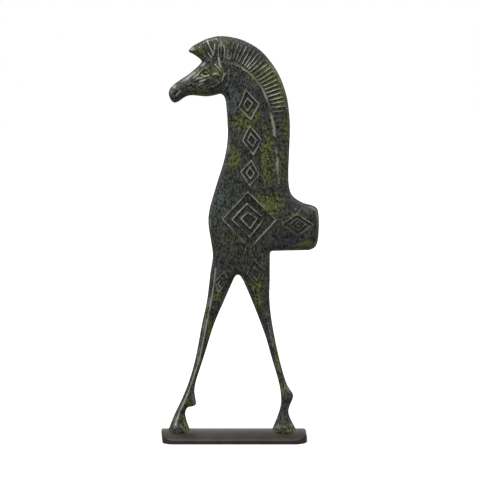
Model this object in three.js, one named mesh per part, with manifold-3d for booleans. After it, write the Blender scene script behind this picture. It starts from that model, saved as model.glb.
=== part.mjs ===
// A bronze half-horse on a low plinth, in millimetres, +Z up, the head towards -X and the
// shown side towards -Y. The origin is the middle of the plinth's underside.
//
// The figure is a flat casting: one closed outline in the XZ plane, and a half thickness that
// grows from nothing at the outline over a rounded rim to the casting's full thickness.
// Raised lines (lozenges, mane, face) are added to that thickness.

import * as THREE from 'three';
import { ConvexHull } from 'three/addons/math/ConvexHull.js';
import { mergeVertices } from 'three/addons/utils/BufferGeometryUtils.js';
import Module from 'manifold-3d';

// Plinth sizes
const PLINTH_LENGTH = 108.6;
const PLINTH_DEPTH = 30;
const PLINTH_WALL = 3.2;
const PLINTH_CROWN = 5;
const PLINTH_CORNER = 9.5;
const PLINTH_SHOULDER = 4.5;
const PLINTH_LEAN = 1.3;
const SEAT_GAP = 0.3;

// Casting sizes
const RIM_WIDTH = 6;
const CROWN_HEIGHT = 0.9;
const CROWN_REACH = 9;

// Sampling of the faceted solid
const OUTLINE_STEP = 2.6;
const RIM_ANGLES = [30, 60, 90];
const FIELD_STEP = 7;
const LEG_STEP = 4;
const LINE_STEP = 3.2;

// How near to an earlier point a new one may lie: on a line's crest, on its foot (a share of
// the line's half width), on the rim (a share of the depth, and the least), in the middle of a
// leg and on the open field (a share of the step). RIM_TRUTH drops a rim point that is nearer
// to another stretch of the outline than to its own.
const CREST_CLEARANCE = 0.35;
const FOOT_CLEARANCE = 0.6;
const RIM_TRUTH = 0.93;
const RIM_CLEARANCE = 0.7;
const RIM_LEAST = 0.7;
const MIDDLE_CLEARANCE = 1.4;
const FIELD_CLEARANCE = 0.6;

// Half thickness of the casting at heights above the plinth's underside: [height, half thickness]
const TRUNK_THICKNESS = [
  [5, 8.2], [10, 7.6], [15, 5.8], [21, 4.4], [32, 4.8], [45, 3.8], [75, 4.3], [105, 6.0],
  [125, 7.6], [165, 8.8], [205, 8.4], [240, 7.8], [272, 7.4], [288, 5.4], [300, 4.0],
];
// Half thickness of the head from the cheek to the nose: [x, half thickness]
const HEAD_THICKNESS = [[-47, 6.2], [-42, 6.0], [-35, 5.8], [-26, 6.6], [-15, 7.6]];
const HEAD_BELOW = 283;
const HEAD_ABOVE = 250;

// The outline, in stretches that each run smoothly through a few points [x, z]. The hooves run
// on below the plinth's top, where they are cut to sit on it.
const CREST = [
  [-33.0, 289.4], [-30.4, 292.4], [-25.4, 295.3], [-19.0, 298.2], [-9.5, 300.0], [2.8, 298.2],
  [12.9, 293.9], [21.0, 288.1], [28.8, 278.6], [33.8, 269.9], [37.4, 260.2], [39.6, 250.3],
  [41.0, 234.0], [40.5, 215.2], [40.0, 201.0], [40.6, 189.5], [43.6, 182.9], [50.6, 178.3],
  [56.0, 176.8],
];
const RUMP = [
  [56.0, 176.8], [60.6, 174.6], [62.2, 169.8], [62.6, 161.0], [61.9, 151.0], [60.0, 145.6],
  [55.5, 143.1],
];
const BELLY = [[55.5, 143.1], [28.6, 142.5]];
const HIND_EDGE = [
  [28.6, 142.5], [27.2, 141.9], [26.6, 140.4], [26.5, 136.0], [26.5, 122.0], [26.3, 106.0],
  [28.4, 87.4], [33.3, 63.3], [38.3, 45.2], [41.8, 38.2],
];
const HIND_FETLOCK = [
  [41.8, 38.2], [43.9, 34.8], [43.6, 31.2], [41.4, 25.8], [40.6, 21.0], [42.4, 15.5],
  [45.6, 8.4], [46.0, -1.0],
];
const HIND_FRONT = [
  [28.4, -1.0], [29.0, 8.6], [31.9, 16.8], [34.4, 24.7], [35.0, 31.5], [33.5, 42.9],
  [27.7, 63.3], [22.4, 81.4], [13.2, 105.4], [6.8, 120.4],
];
const CROTCH = [[6.8, 120.4], [4.6, 123.8], [2.7, 124.7], [0.8, 123.4], [-0.9, 120.0]];
const FORE_BACK = [
  [-0.9, 120.0], [-7.3, 105.4], [-14.9, 87.4], [-22.4, 63.3], [-28.2, 45.2], [-29.6, 36.8],
];
const FORE_FETLOCK = [
  [-29.6, 36.8], [-28.8, 31.5], [-28.3, 27.6], [-30.2, 25.9], [-34.6, 24.6], [-36.4, 20.6],
  [-35.4, 14.6], [-33.6, 8.6], [-33.2, -1.0],
];
const FORE_EDGE = [
  [-49.1, -1.0], [-48.5, 8.6], [-44.2, 20.1], [-38.8, 31.5], [-33.4, 45.2], [-28.4, 63.3],
  [-23.9, 87.4], [-20.1, 105.4], [-17.5, 126.4],
];
const CHEST = [
  [-17.5, 126.4], [-15.7, 139.0], [-17.1, 150.2], [-18.9, 163.0], [-17.9, 174.0],
  [-12.9, 191.6], [-7.4, 209.3], [-4.8, 224.0], [-4.8, 239.0], [-5.9, 252.5],
];
const THROAT = [[-5.9, 252.5], [-7.2, 256.2], [-9.6, 258.0], [-13.0, 257.3]];
const JAW = [
  [-13.0, 257.3], [-20.0, 256.2], [-30.5, 257.0], [-35.4, 255.9], [-39.8, 252.9],
];
const MUZZLE = [
  [-39.8, 252.9], [-43.1, 251.6], [-46.0, 253.6], [-47.6, 258.2], [-46.2, 262.5],
  [-41.6, 266.7],
];
const NOSE = [[-41.6, 266.7], [-33.3, 272.2], [-27.2, 277.2], [-24.0, 280.6]];
const BROW = [[-24.0, 280.6], [-23.6, 281.9], [-25.0, 283.7]];
const FORELOCK = [[-25.0, 283.7], [-29.1, 286.6], [-32.4, 288.3], [-33.0, 289.4]];
const OUTLINE = [
  CREST, RUMP, BELLY, HIND_EDGE, HIND_FETLOCK, HIND_FRONT, CROTCH, FORE_BACK, FORE_FETLOCK,
  FORE_EDGE, CHEST, THROAT, JAW, MUZZLE, NOSE, BROW, FORELOCK,
];

// Raised lozenges: corners top, right, bottom, left [x, z] of each nested frame
const LINE_HEIGHT = 0.7;
const LINE_HALF_WIDTH = 0.85;
const CHEST_LOZENGE = [
  [[10.1, 186.9], [30.6, 166.5], [12.1, 145.3], [-8.2, 166.7]],
  [[9.4, 178.3], [22.1, 167.5], [11.4, 153.7], [-1.4, 166.5]],
  [[9.9, 172.0], [16.8, 167.5], [11.9, 160.3], [5.0, 167.3]],
];
const NECK_LOZENGES = [
  [[8.7, 261.1], [18.3, 250.9], [12.3, 239.7], [3.3, 248.4]],
  [[9.6, 255.0], [13.5, 251.7], [9.9, 245.8], [6.8, 250.2]],
  [[11.6, 235.1], [20.2, 225.1], [14.0, 214.2], [6.2, 224.6]],
  [[12.2, 229.7], [16.4, 224.9], [14.0, 220.0], [9.6, 224.6]],
  [[12.6, 209.8], [18.3, 199.3], [11.3, 191.6], [5.0, 201.6]],
  [[11.6, 205.0], [14.7, 200.5], [12.0, 196.6], [8.8, 201.0]],
];
const RUMP_LOZENGE = [
  [[46.4, 170.3], [57.9, 163.0], [46.7, 154.3], [35.1, 163.0]],
  [[46.6, 167.2], [52.4, 163.0], [46.8, 158.2], [40.4, 163.0]],
];
const LEG_LOZENGES = [
  [[-6.9, 127.6], [-4.2, 121.2], [-11.6, 112.8], [-13.8, 120.7]],
  [[-8.6, 123.0], [-7.4, 120.2], [-10.6, 116.4], [-11.7, 119.2]],
  [[14.7, 137.0], [22.9, 127.9], [19.2, 115.8], [9.8, 126.0]],
  [[14.9, 131.0], [19.3, 126.6], [17.2, 120.8], [12.6, 126.4]],
];

// The ridge that runs down the front of the left leg
const LEG_RIDGE = [
  [-13.5, 130.4], [-15.2, 116.0], [-17.3, 103.9], [-21.0, 85.0], [-26.0, 61.0],
  [-32.1, 43.2], [-36.6, 31.0], [-41.2, 20.9],
];
const LEG_RIDGE_HEIGHT = 0.6;
const LEG_RIDGE_HALF_WIDTH = 1.3;

// Mane: a border inside the crest, and raised strands across the band
const MANE_BORDER = [
  [-2.7, 280.3], [4.1, 277.6], [9.9, 274.0], [14.8, 269.6], [19.6, 263.6], [24.0, 254.0],
  [27.6, 241.5], [29.6, 230.0], [31.0, 214.3], [31.9, 202.0], [33.2, 191.5],
];
const BORDER_HEIGHT = 0.6;
const BORDER_HALF_WIDTH = 1.1;
const STRAND_SPACING = 3.5;
const STRAND_START = 3.0;
const STRAND_HEIGHT = 0.5;
const STRAND_HALF_WIDTH = 0.8;
const STRAND_FIRST = 12;
const STRAND_LAST = 150;
const STRAND_SHORTEST = 2;
const STRAND_LONGEST = 13;
const STRAND_BORDER_GAP = 2.2;
const STRAND_RIM_GAP = 2.5;
const STRAND_TRIAL_STEP = 0.5;

// Head: ear, eye, cheek, brow, nostril and mouth as raised or sunk lines
const EAR = [[-9.2, 295.6], [-11.2, 289.5], [-10.6, 281.0], [-7.4, 281.0], [-6.6, 289.5]];
const EYE_CENTRE = [-21.2, 272.4];
const EYE_LENGTH = 6.0;
const EYE_HEIGHT = 3.2;
const EYE_TILT = 35;
const EYE_STEPS = 8;
const CHEEK_CENTRE = [-15.2, 269.2];
const CHEEK_RADIUS = 6.4;
const CHEEK_FROM = -150;
const CHEEK_TO = 60;
const CHEEK_STEPS = 7;
const JAW_LINE = [[-3.2, 284.0], [-3.4, 270.0], [-5.6, 263.4], [-8.0, 260.6]];
const NOSTRIL = [[-40.8, 260.2], [-42.6, 257.8]];
const MOUTH = [[-45.6, 255.2], [-42.0, 255.0], [-38.4, 256.6]];
const FACE_HEIGHT = 0.6;
const FACE_HALF_WIDTH = 0.8;

const wasm = await Module();
wasm.setup();

// The value at a place of a chain of [place, value] pairs, eased between them.
function eased(pairs, place) {
  for (let i = 1; i < pairs.length; i++) {
    const [from, low] = pairs[i - 1];
    const [to, high] = pairs[i];
    if (place <= to) {
      return THREE.MathUtils.lerp(low, high, THREE.MathUtils.smoothstep(place, from, to));
    }
  }
  return pairs[pairs.length - 1][1];
}

function smoothLine(points) {
  return new THREE.SplineCurve(points.map(([x, z]) => new THREE.Vector2(x, z)));
}

// Evenly spaced points along a smooth line, with or without its last point.
function spacedPoints(curve, step, withLast) {
  const count = Math.max(1, Math.round(curve.getLength() / step));
  const points = curve.getSpacedPoints(count);
  return withLast ? points : points.slice(0, -1);
}

// The whole outline as one loop of points, anticlockwise as the shown side sees it.
function makeOutline(step) {
  const loop = [];
  OUTLINE.forEach((stretch, index) => {
    loop.push(...spacedPoints(smoothLine(stretch), step, false));
    const next = OUTLINE[(index + 1) % OUTLINE.length];
    const [x, z] = stretch[stretch.length - 1];
    if (Math.hypot(next[0][0] - x, next[0][1] - z) > step) {
      loop.push(new THREE.Vector2(x, z));
    }
  });
  return loop.reverse();
}

function distanceToSegment(p, a, b) {
  const dx = b.x - a.x;
  const dz = b.y - a.y;
  const t = ((p.x - a.x) * dx + (p.y - a.y) * dz) / (dx * dx + dz * dz);
  const s = THREE.MathUtils.clamp(t, 0, 1);
  return Math.hypot(p.x - a.x - s * dx, p.y - a.y - s * dz);
}

function distanceToLine(p, points, closed) {
  let best = Infinity;
  const count = closed ? points.length : points.length - 1;
  for (let i = 0; i < count; i++) {
    best = Math.min(best, distanceToSegment(p, points[i], points[(i + 1) % points.length]));
  }
  return best;
}

function isInside(p, loop) {
  let inside = false;
  for (let i = 0, j = loop.length - 1; i < loop.length; j = i++) {
    const a = loop[i];
    const b = loop[j];
    if (a.y > p.y !== b.y > p.y && p.x < ((b.x - a.x) * (p.y - a.y)) / (b.y - a.y) + a.x) {
      inside = !inside;
    }
  }
  return inside;
}

const outline = makeOutline(OUTLINE_STEP);
const fineOutline = makeOutline(OUTLINE_STEP / 3);

// The casting's half thickness without any carving.
function plainThickness(p) {
  const depth = distanceToLine(p, fineOutline, true);
  let full = eased(TRUNK_THICKNESS, p.y);
  if (p.x < HEAD_THICKNESS[HEAD_THICKNESS.length - 1][0] && p.y > HEAD_ABOVE && p.y < HEAD_BELOW) {
    full = Math.min(full, eased(HEAD_THICKNESS, p.x));
  }
  const slope = 1 - Math.min(depth / RIM_WIDTH, 1);
  const crown = 1 - Math.exp(-Math.max(depth - RIM_WIDTH, 0) / CROWN_REACH);
  return full * Math.sqrt(1 - slope * slope) + CROWN_HEIGHT * crown;
}

// One carved line: its points, whether it closes, and how far it stands out or is sunk.
function line(points, closed, height, halfWidth) {
  const path = points.map(([x, z]) => new THREE.Vector2(x, z));
  return { path, closed, height, halfWidth };
}

function eyeLoop() {
  const tilt = THREE.MathUtils.degToRad(EYE_TILT);
  const curve = new THREE.EllipseCurve(...EYE_CENTRE, EYE_LENGTH / 2, EYE_HEIGHT / 2, 0,
    2 * Math.PI, false, tilt);
  return curve.getPoints(EYE_STEPS).slice(0, -1).map((p) => [p.x, p.y]);
}

function smoothPath(points, step) {
  return spacedPoints(smoothLine(points), step, true).map((p) => [p.x, p.y]);
}

// Strands run inwards from the crest, square to it, and stop at the mane's border.
function maneStrands() {
  const crest = smoothLine(CREST);
  const border = smoothPath(MANE_BORDER, STRAND_SPACING).map(([x, z]) => new THREE.Vector2(x, z));
  const length = crest.getLength();
  const strands = [];
  for (let along = STRAND_FIRST; along < STRAND_LAST; along += STRAND_SPACING) {
    const from = crest.getPointAt(along / length);
    const tangent = crest.getTangentAt(along / length);
    const inward = new THREE.Vector2(tangent.y, -tangent.x);
    const start = from.clone().addScaledVector(inward, STRAND_START);
    const end = start.clone();
    while (
      start.distanceTo(end) < STRAND_LONGEST &&
      distanceToLine(end, border, false) > STRAND_BORDER_GAP &&
      distanceToLine(end, fineOutline, true) > STRAND_RIM_GAP
    ) {
      end.addScaledVector(inward, STRAND_TRIAL_STEP);
    }
    if (start.distanceTo(end) > STRAND_SHORTEST) {
      strands.push(line([[start.x, start.y], [end.x, end.y]], false, STRAND_HEIGHT,
        STRAND_HALF_WIDTH));
    }
  }
  return strands;
}

// Nested frames as closed raised lines.
function lozenges(frames) {
  return frames.map((corners) => line(corners, true, LINE_HEIGHT, LINE_HALF_WIDTH));
}

// The ear, eye, cheek and jaw stand out, and the nostril and mouth are sunk.
function headLines() {
  const from = THREE.MathUtils.degToRad(CHEEK_FROM);
  const to = THREE.MathUtils.degToRad(CHEEK_TO);
  const arc = new THREE.EllipseCurve(...CHEEK_CENTRE, CHEEK_RADIUS, CHEEK_RADIUS, from, to);
  const cheek = arc.getPoints(CHEEK_STEPS).map((p) => [p.x, p.y]);
  return [
    line(EAR, true, FACE_HEIGHT, FACE_HALF_WIDTH),
    line(eyeLoop(), true, FACE_HEIGHT, FACE_HALF_WIDTH),
    line(cheek, false, FACE_HEIGHT, FACE_HALF_WIDTH),
    line(JAW_LINE, false, FACE_HEIGHT, BORDER_HALF_WIDTH),
    line(NOSTRIL, false, -FACE_HEIGHT, 1.1),
    line(MOUTH, false, -FACE_HEIGHT, FACE_HALF_WIDTH),
  ];
}

const sharedLines = [
  line(smoothPath(LEG_RIDGE, LEG_STEP), false, LEG_RIDGE_HEIGHT, LEG_RIDGE_HALF_WIDTH),
  line(smoothPath(MANE_BORDER, LEG_STEP), false, BORDER_HEIGHT, BORDER_HALF_WIDTH),
  ...maneStrands(),
  ...headLines(),
];
const shownLines = [
  ...sharedLines,
  ...lozenges(CHEST_LOZENGE),
  ...lozenges(NECK_LOZENGES),
  ...lozenges(RUMP_LOZENGE),
  ...lozenges(LEG_LOZENGES),
];
const hiddenLines = [...sharedLines, ...lozenges(CHEST_LOZENGE)];

// How far the carving stands out at a point: each line is a rounded ridge or furrow.
function carving(p, lines) {
  let up = 0;
  let down = 0;
  for (const { path, closed, height, halfWidth } of lines) {
    const off = distanceToLine(p, path, closed) / halfWidth;
    if (off < 1) {
      const swell = height * (1 - off * off);
      up = Math.max(up, swell);
      down = Math.min(down, swell);
    }
  }
  return up + down;
}

// Points of one face, in order of importance; a later point too near an earlier one is left out.
function facePoints(lines) {
  const points = [...outline];
  const add = (p, clearance) => {
    if (isInside(p, outline) && points.every((q) => q.distanceTo(p) > clearance)) {
      points.push(p);
    }
  };
  for (const { path, closed, halfWidth } of lines) {
    const count = closed ? path.length : path.length - 1;
    const rows = [[], []];
    for (let i = 0; i < count; i++) {
      const a = path[i];
      const b = path[(i + 1) % path.length];
      const steps = Math.max(1, Math.round(a.distanceTo(b) / LINE_STEP));
      const side = new THREE.Vector2(a.y - b.y, b.x - a.x).setLength(halfWidth);
      for (let k = 0; k <= steps; k++) {
        rows[0].push(a.clone().lerp(b, k / steps));
      }
      for (let k = 0.5; k < steps; k++) {
        const middle = a.clone().lerp(b, k / steps);
        rows[1].push(middle.clone().add(side), middle.clone().sub(side));
      }
    }
    rows[0].forEach((p) => add(p, CREST_CLEARANCE));
    rows[1].forEach((p) => add(p, FOOT_CLEARANCE * halfWidth));
  }
  for (const angle of RIM_ANGLES) {
    const depth = RIM_WIDTH * (1 - Math.cos(THREE.MathUtils.degToRad(angle)));
    outline.forEach((p, i) => {
      const before = outline.at(i - 1);
      const after = outline[(i + 1) % outline.length];
      const inward = new THREE.Vector2(before.y - after.y, after.x - before.x).setLength(depth);
      const inner = p.clone().add(inward);
      if (distanceToLine(inner, fineOutline, true) > RIM_TRUTH * depth) {
        add(inner, Math.max(RIM_CLEARANCE * depth, RIM_LEAST));
      }
    });
  }
  const bounds = new THREE.Box2().setFromPoints(outline);
  for (let z = bounds.min.y + LEG_STEP / 2; z < bounds.max.y; z += LEG_STEP) {
    legMiddles(z).forEach((p) => add(p, MIDDLE_CLEARANCE));
  }
  for (let z = bounds.min.y + FIELD_STEP / 2; z < bounds.max.y; z += FIELD_STEP) {
    for (let x = bounds.min.x; x < bounds.max.x; x += FIELD_STEP) {
      add(new THREE.Vector2(x, z), FIELD_CLEARANCE * FIELD_STEP);
    }
  }
  return points;
}

// The middle of each leg at a height, where the outline crosses that height four times.
function legMiddles(z) {
  const crossings = [];
  outline.forEach((a, i) => {
    const b = outline[(i + 1) % outline.length];
    if (a.y > z !== b.y > z) {
      crossings.push(a.x + ((z - a.y) / (b.y - a.y)) * (b.x - a.x));
    }
  });
  crossings.sort((a, b) => a - b);
  if (crossings.length !== 4) {
    return [];
  }
  return [0, 2].map((i) => new THREE.Vector2((crossings[i] + crossings[i + 1]) / 2, z));
}

// Triangles between scattered points: the lower faces of the hull of the points lifted on a
// bowl join each point with its nearest neighbours. A tiny stir keeps even rows apart.
const STIR = 1e-3;
const BOWL = 150;
function joinPoints(points) {
  const lifted = new Map();
  points.forEach((p, i) => {
    const x = (p.x + STIR * Math.sin(12.9 * i)) / BOWL;
    const z = (p.y - BOWL + STIR * Math.cos(7.3 * i)) / BOWL;
    lifted.set(new THREE.Vector3(x, z, x * x + z * z), i);
  });
  const hull = new ConvexHull().setFromPoints([...lifted.keys()]);
  const triangles = [];
  for (const face of hull.faces) {
    if (face.normal.z < 0) {
      const edge = face.edge;
      const corners = [edge.prev.head(), edge.head(), edge.next.head()];
      const [a, b, c] = corners.map((vertex) => lifted.get(vertex.point));
      const middle = points[a].clone().add(points[b]).add(points[c]).divideScalar(3);
      if (isInside(middle, outline)) {
        const turn = points[b].clone().sub(points[a]).cross(points[c].clone().sub(points[a]));
        triangles.push(turn > 0 ? [a, b, c] : [a, c, b]);
      }
    }
  }
  return triangles;
}

// Both faces of the casting share the outline's points, where the thickness is nothing.
function figureGeometry() {
  const positions = [];
  const index = [];
  for (const [side, lines] of [[-1, shownLines], [1, hiddenLines]]) {
    const points = facePoints(lines);
    const start = positions.length / 3;
    points.forEach((p, i) => {
      const half = i < outline.length ? 0 : plainThickness(p) + carving(p, lines);
      positions.push(p.x, side * half, p.y);
    });
    for (const [a, b, c] of joinPoints(points)) {
      const [u, v, w] = [a, b, c].map((corner) => start + corner);
      index.push(...(side < 0 ? [u, v, w] : [u, w, v]));
    }
  }
  const geometry = new THREE.BufferGeometry();
  geometry.setAttribute('position', new THREE.Float32BufferAttribute(positions, 3));
  geometry.setIndex(index);
  return geometry;
}

function toSolid(geometry) {
  geometry.deleteAttribute('normal');
  geometry.deleteAttribute('uv');
  const merged = mergeVertices(geometry, 1e-5);
  return new wasm.Manifold(new wasm.Mesh({
    numProp: 3,
    vertProperties: new Float32Array(merged.attributes.position.array),
    triVerts: new Uint32Array(merged.index.array),
  }));
}

function toGeometry(solid) {
  const mesh = solid.getMesh();
  const geometry = new THREE.BufferGeometry();
  geometry.setAttribute('position', new THREE.BufferAttribute(mesh.vertProperties, 3));
  geometry.setIndex(new THREE.BufferAttribute(mesh.triVerts, 1));
  geometry.computeVertexNormals();
  return geometry;
}

// The plinth's section across its depth: a low wall under an arched top, grown by a margin.
function plinthSection(margin) {
  const half = PLINTH_DEPTH / 2;
  const radius = (half * half + PLINTH_CROWN * PLINTH_CROWN) / (2 * PLINTH_CROWN);
  const reach = Math.asin(half / radius);
  const shape = new THREE.Shape();
  const low = -5 * margin;
  shape.moveTo(-half - margin, low);
  shape.lineTo(half + margin, low);
  shape.lineTo(half + margin, PLINTH_WALL);
  shape.absarc(0, PLINTH_WALL + PLINTH_CROWN - radius, radius + margin,
    Math.PI / 2 - reach, Math.PI / 2 + reach, false);
  shape.lineTo(-half - margin, PLINTH_WALL);
  const bar = new THREE.ExtrudeGeometry(shape, {
    depth: PLINTH_LENGTH + 4 * margin, bevelEnabled: false, curveSegments: 12,
  });
  bar.translate(0, 0, -PLINTH_LENGTH / 2 - 2 * margin);
  bar.applyMatrix4(new THREE.Matrix4().set(0, 0, 1, 0, 1, 0, 0, 0, 0, 1, 0, 0, 0, 0, 0, 1));
  return toSolid(bar);
}

// The plinth seen from above: a bar with rounded corners.
function plinthPlan() {
  const [right, back] = [PLINTH_LENGTH / 2, PLINTH_DEPTH / 2];
  const corner = PLINTH_CORNER;
  const shape = new THREE.Shape();
  shape.moveTo(-right, back);
  shape.lineTo(-right, -back + corner);
  shape.absarc(-right + corner, -back + corner, corner, Math.PI, 1.5 * Math.PI, false);
  shape.lineTo(right - corner, -back);
  shape.absarc(right - corner, -back + corner, corner, -Math.PI / 2, 0, false);
  shape.lineTo(right, back - corner);
  shape.absarc(right - corner, back - corner, corner, 0, Math.PI / 2, false);
  return toSolid(new THREE.ExtrudeGeometry(shape, {
    depth: PLINTH_WALL + PLINTH_CROWN, bevelEnabled: false, curveSegments: 8,
  }));
}

// The plinth seen from the front: the left end leans out to a sharp top corner, and the right
// end has a round shoulder.
function plinthFront() {
  const right = PLINTH_LENGTH / 2;
  const top = PLINTH_WALL + PLINTH_CROWN;
  const shape = new THREE.Shape();
  shape.moveTo(-right + PLINTH_LEAN, 0);
  shape.lineTo(right, 0);
  shape.lineTo(right, top - PLINTH_SHOULDER);
  shape.absarc(right - PLINTH_SHOULDER, top - PLINTH_SHOULDER, PLINTH_SHOULDER, 0,
    Math.PI / 2, false);
  shape.lineTo(-right, top);
  const slab = new THREE.ExtrudeGeometry(shape, {
    depth: PLINTH_DEPTH, bevelEnabled: false, curveSegments: 6,
  });
  slab.rotateX(Math.PI / 2);
  slab.translate(0, PLINTH_DEPTH / 2, 0);
  return toSolid(slab);
}

const plinthSolid = plinthSection(0).intersect(plinthPlan()).intersect(plinthFront());
const figureSolid = toSolid(figureGeometry()).subtract(plinthSection(SEAT_GAP));

const figure = new THREE.Mesh(
  toGeometry(figureSolid),
  new THREE.MeshStandardMaterial({ color: 0x2c3526, roughness: 0.45, metalness: 0.8 }),
);
figure.name = 'figure';

const plinth = new THREE.Mesh(
  toGeometry(plinthSolid),
  new THREE.MeshStandardMaterial({ color: 0x4a3f38, roughness: 0.4, metalness: 0.8 }),
);
plinth.name = 'plinth';

const halfHorse = new THREE.Group();
halfHorse.add(figure, plinth);

export default halfHorse;
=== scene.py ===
"""A flat-cast bronze half-horse on a low domed plinth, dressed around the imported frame.

Sizes and places are in millimetres in the object's own frame: +Z up, the head towards -X, the
shown side towards -Y, and the middle of the plinth's underside at the origin. The meshes are
written in metres.
"""

from __future__ import annotations

import logging
import math
from collections.abc import Mapping, Sequence
from dataclasses import dataclass
from enum import Enum

import bmesh
import bpy
import numpy as np
from mathutils import Matrix, Vector
from mathutils.geometry import delaunay_2d_cdt


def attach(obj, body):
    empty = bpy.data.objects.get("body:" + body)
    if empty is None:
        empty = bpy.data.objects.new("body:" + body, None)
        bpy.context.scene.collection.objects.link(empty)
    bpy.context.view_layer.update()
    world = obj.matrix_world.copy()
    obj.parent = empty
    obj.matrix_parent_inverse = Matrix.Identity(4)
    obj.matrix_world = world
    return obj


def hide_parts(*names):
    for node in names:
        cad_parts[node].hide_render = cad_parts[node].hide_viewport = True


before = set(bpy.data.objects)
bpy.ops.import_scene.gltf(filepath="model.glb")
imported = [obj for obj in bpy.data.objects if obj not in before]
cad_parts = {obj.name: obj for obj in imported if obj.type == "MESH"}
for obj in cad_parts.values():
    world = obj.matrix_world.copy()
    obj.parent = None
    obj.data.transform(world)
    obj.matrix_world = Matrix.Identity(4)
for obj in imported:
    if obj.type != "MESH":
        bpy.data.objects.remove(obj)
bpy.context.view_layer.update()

Array = np.ndarray
Point = tuple[float, float]
Line = tuple[Point, ...]
Colour = tuple[float, float, float]

MM = 0.001
LOG = logging.getLogger("half_horse")


def eased_step(low: float | Array, high: float | Array, value: Array) -> Array:
    """A smooth step: 3t^2 - 2t^3, where t is the clipped share of the way from low to high.

    Args:
        low: The value at which the step starts.
        high: The value at which it ends.
        value: The values to step.

    Returns:
        Numbers from 0 to 1.
    """
    share = np.clip((value - low) / (high - low), 0.0, 1.0)
    return share * share * (3.0 - 2.0 * share)


def eased_chain(pairs: Line, place: Array) -> Array:
    """The value of a chain of (place, value) pairs, with a smooth step from each to the next.

    Args:
        pairs: The chain, with its places rising.
        place: Where to read it.

    Returns:
        One value for each place.
    """
    places, values = np.array(pairs, float).T
    gap = np.clip(np.searchsorted(places, place) - 1, 0, len(places) - 2)
    share = eased_step(places[gap], places[gap + 1], place)
    return values[gap] + share * (values[gap + 1] - values[gap])


def smooth_line(points: Line, step: float, samples: int = 48) -> Array:
    """Evenly spaced points on a smooth line through a few chosen points.

    Between two chosen points the line is the cubic whose slope at each of them is half the
    way from the point before it to the point after it. It is read off at even lengths.

    Args:
        points: The chosen points.
        step: The spacing wished for.
        samples: How finely each stretch is measured.

    Returns:
        The points, first and last included, as rows.
    """
    knots = np.array(points, float)
    padded = np.vstack([knots[:1], knots, knots[-1:]])
    before, first, second, after = padded[:-3], padded[1:-2], padded[2:-1], padded[3:]
    start, end = (second - before) / 2, (after - first) / 2
    t = np.linspace(0, 1, samples, endpoint=False)[:, None, None]
    cubic = 2 * (first - second) + start + end
    square = 3 * (second - first) - 2 * start - end
    curve = ((cubic * t + square) * t + start) * t + first
    dense = np.vstack([curve.transpose(1, 0, 2).reshape(-1, 2), knots[-1:]])
    along = np.append(0, np.cumsum(np.linalg.norm(np.diff(dense, axis=0), axis=1)))
    even = np.linspace(0, along[-1], max(1, round(along[-1] / step)) + 1)
    return np.stack([np.interp(even, along, dense[:, axis]) for axis in (0, 1)], axis=1)


def distance(
    points: Array, line: Array, closed: bool = False, reach: float = 40.0, chunk: int = 1500
) -> Array:
    """Distance from each point to a line of straight pieces, no larger than a reach.

    On each piece the nearest place is the point's shadow on it, held between its two ends.
    The least of the distances to all pieces is kept. The points are taken in level bands, and
    a band looks only at the pieces within reach of it.

    Args:
        points: The points, as rows.
        line: The line's corners, as rows.
        closed: Whether the last corner joins the first.
        reach: The distance that every farther point is given.
        chunk: How many points are measured at once.

    Returns:
        One distance for each point.
    """
    starts = line if closed else line[:-1]
    ends = np.roll(line, -1, axis=0) if closed else line[1:]
    low, high = line.min(axis=0) - reach, line.max(axis=0) + reach
    near = np.flatnonzero(((points > low) & (points < high)).all(axis=1))
    near = near[np.argsort(points[near, 1], kind="stable")]
    best = np.full(len(points), float(reach))
    for first in range(0, len(near), chunk):
        rows = near[first : first + chunk]
        bottom, top = points[rows[0], 1] - reach, points[rows[-1], 1] + reach
        kept = (np.maximum(starts[:, 1], ends[:, 1]) > bottom) & (
            np.minimum(starts[:, 1], ends[:, 1]) < top
        )
        if not kept.any():
            continue
        start, span = starts[kept], (ends - starts)[kept]
        length = np.maximum((span**2).sum(axis=1), 1e-12)
        x = points[rows, :1] - start[:, 0]
        z = points[rows, 1:] - start[:, 1]
        share = np.clip((x * span[:, 0] + z * span[:, 1]) / length, 0, 1)
        x -= share * span[:, 0]
        z -= share * span[:, 1]
        best[rows] = np.minimum(np.sqrt((x * x + z * z).min(axis=1)), reach)
    return best


def inside(points: Array, loop: Array, chunk: int = 1500) -> Array:
    """Whether each point lies inside a closed loop: a level ray crosses it an odd number of times.

    Args:
        points: The points, as rows.
        loop: The loop's corners, as rows.
        chunk: How many points are tested at once, in level bands.

    Returns:
        One truth value for each point.
    """
    ends = np.roll(loop, -1, axis=0)
    rise = np.where(ends[:, 1] == loop[:, 1], 1e-12, ends[:, 1] - loop[:, 1])
    slope = (ends[:, 0] - loop[:, 0]) / rise
    low, high = np.minimum(loop[:, 1], ends[:, 1]), np.maximum(loop[:, 1], ends[:, 1])
    found = np.zeros(len(points), bool)
    order = np.argsort(points[:, 1], kind="stable")
    for first in range(0, len(order), chunk):
        rows = order[first : first + chunk]
        kept = (high >= points[rows[0], 1]) & (low <= points[rows[-1], 1])
        x, z = points[rows].T[:, :, None]
        spans = (loop[kept, 1] > z) != (ends[kept, 1] > z)
        left = x < loop[kept, 0] + (z - loop[kept, 1]) * slope[kept]
        found[rows] = (spans & left).sum(axis=1) % 2 == 1
    return found


def turned(points: Array, centre: Point, tilt: float) -> Array:
    """Points in the frame of something centred at a place and tilted.

    Args:
        points: The points, as rows.
        centre: The place.
        tilt: How far it is turned anticlockwise, in degrees.

    Returns:
        The points in that frame, as rows.
    """
    angle = math.radians(tilt)
    turn = np.array([[math.cos(angle), -math.sin(angle)], [math.sin(angle), math.cos(angle)]])
    return (points - np.array(centre)) @ turn


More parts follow.
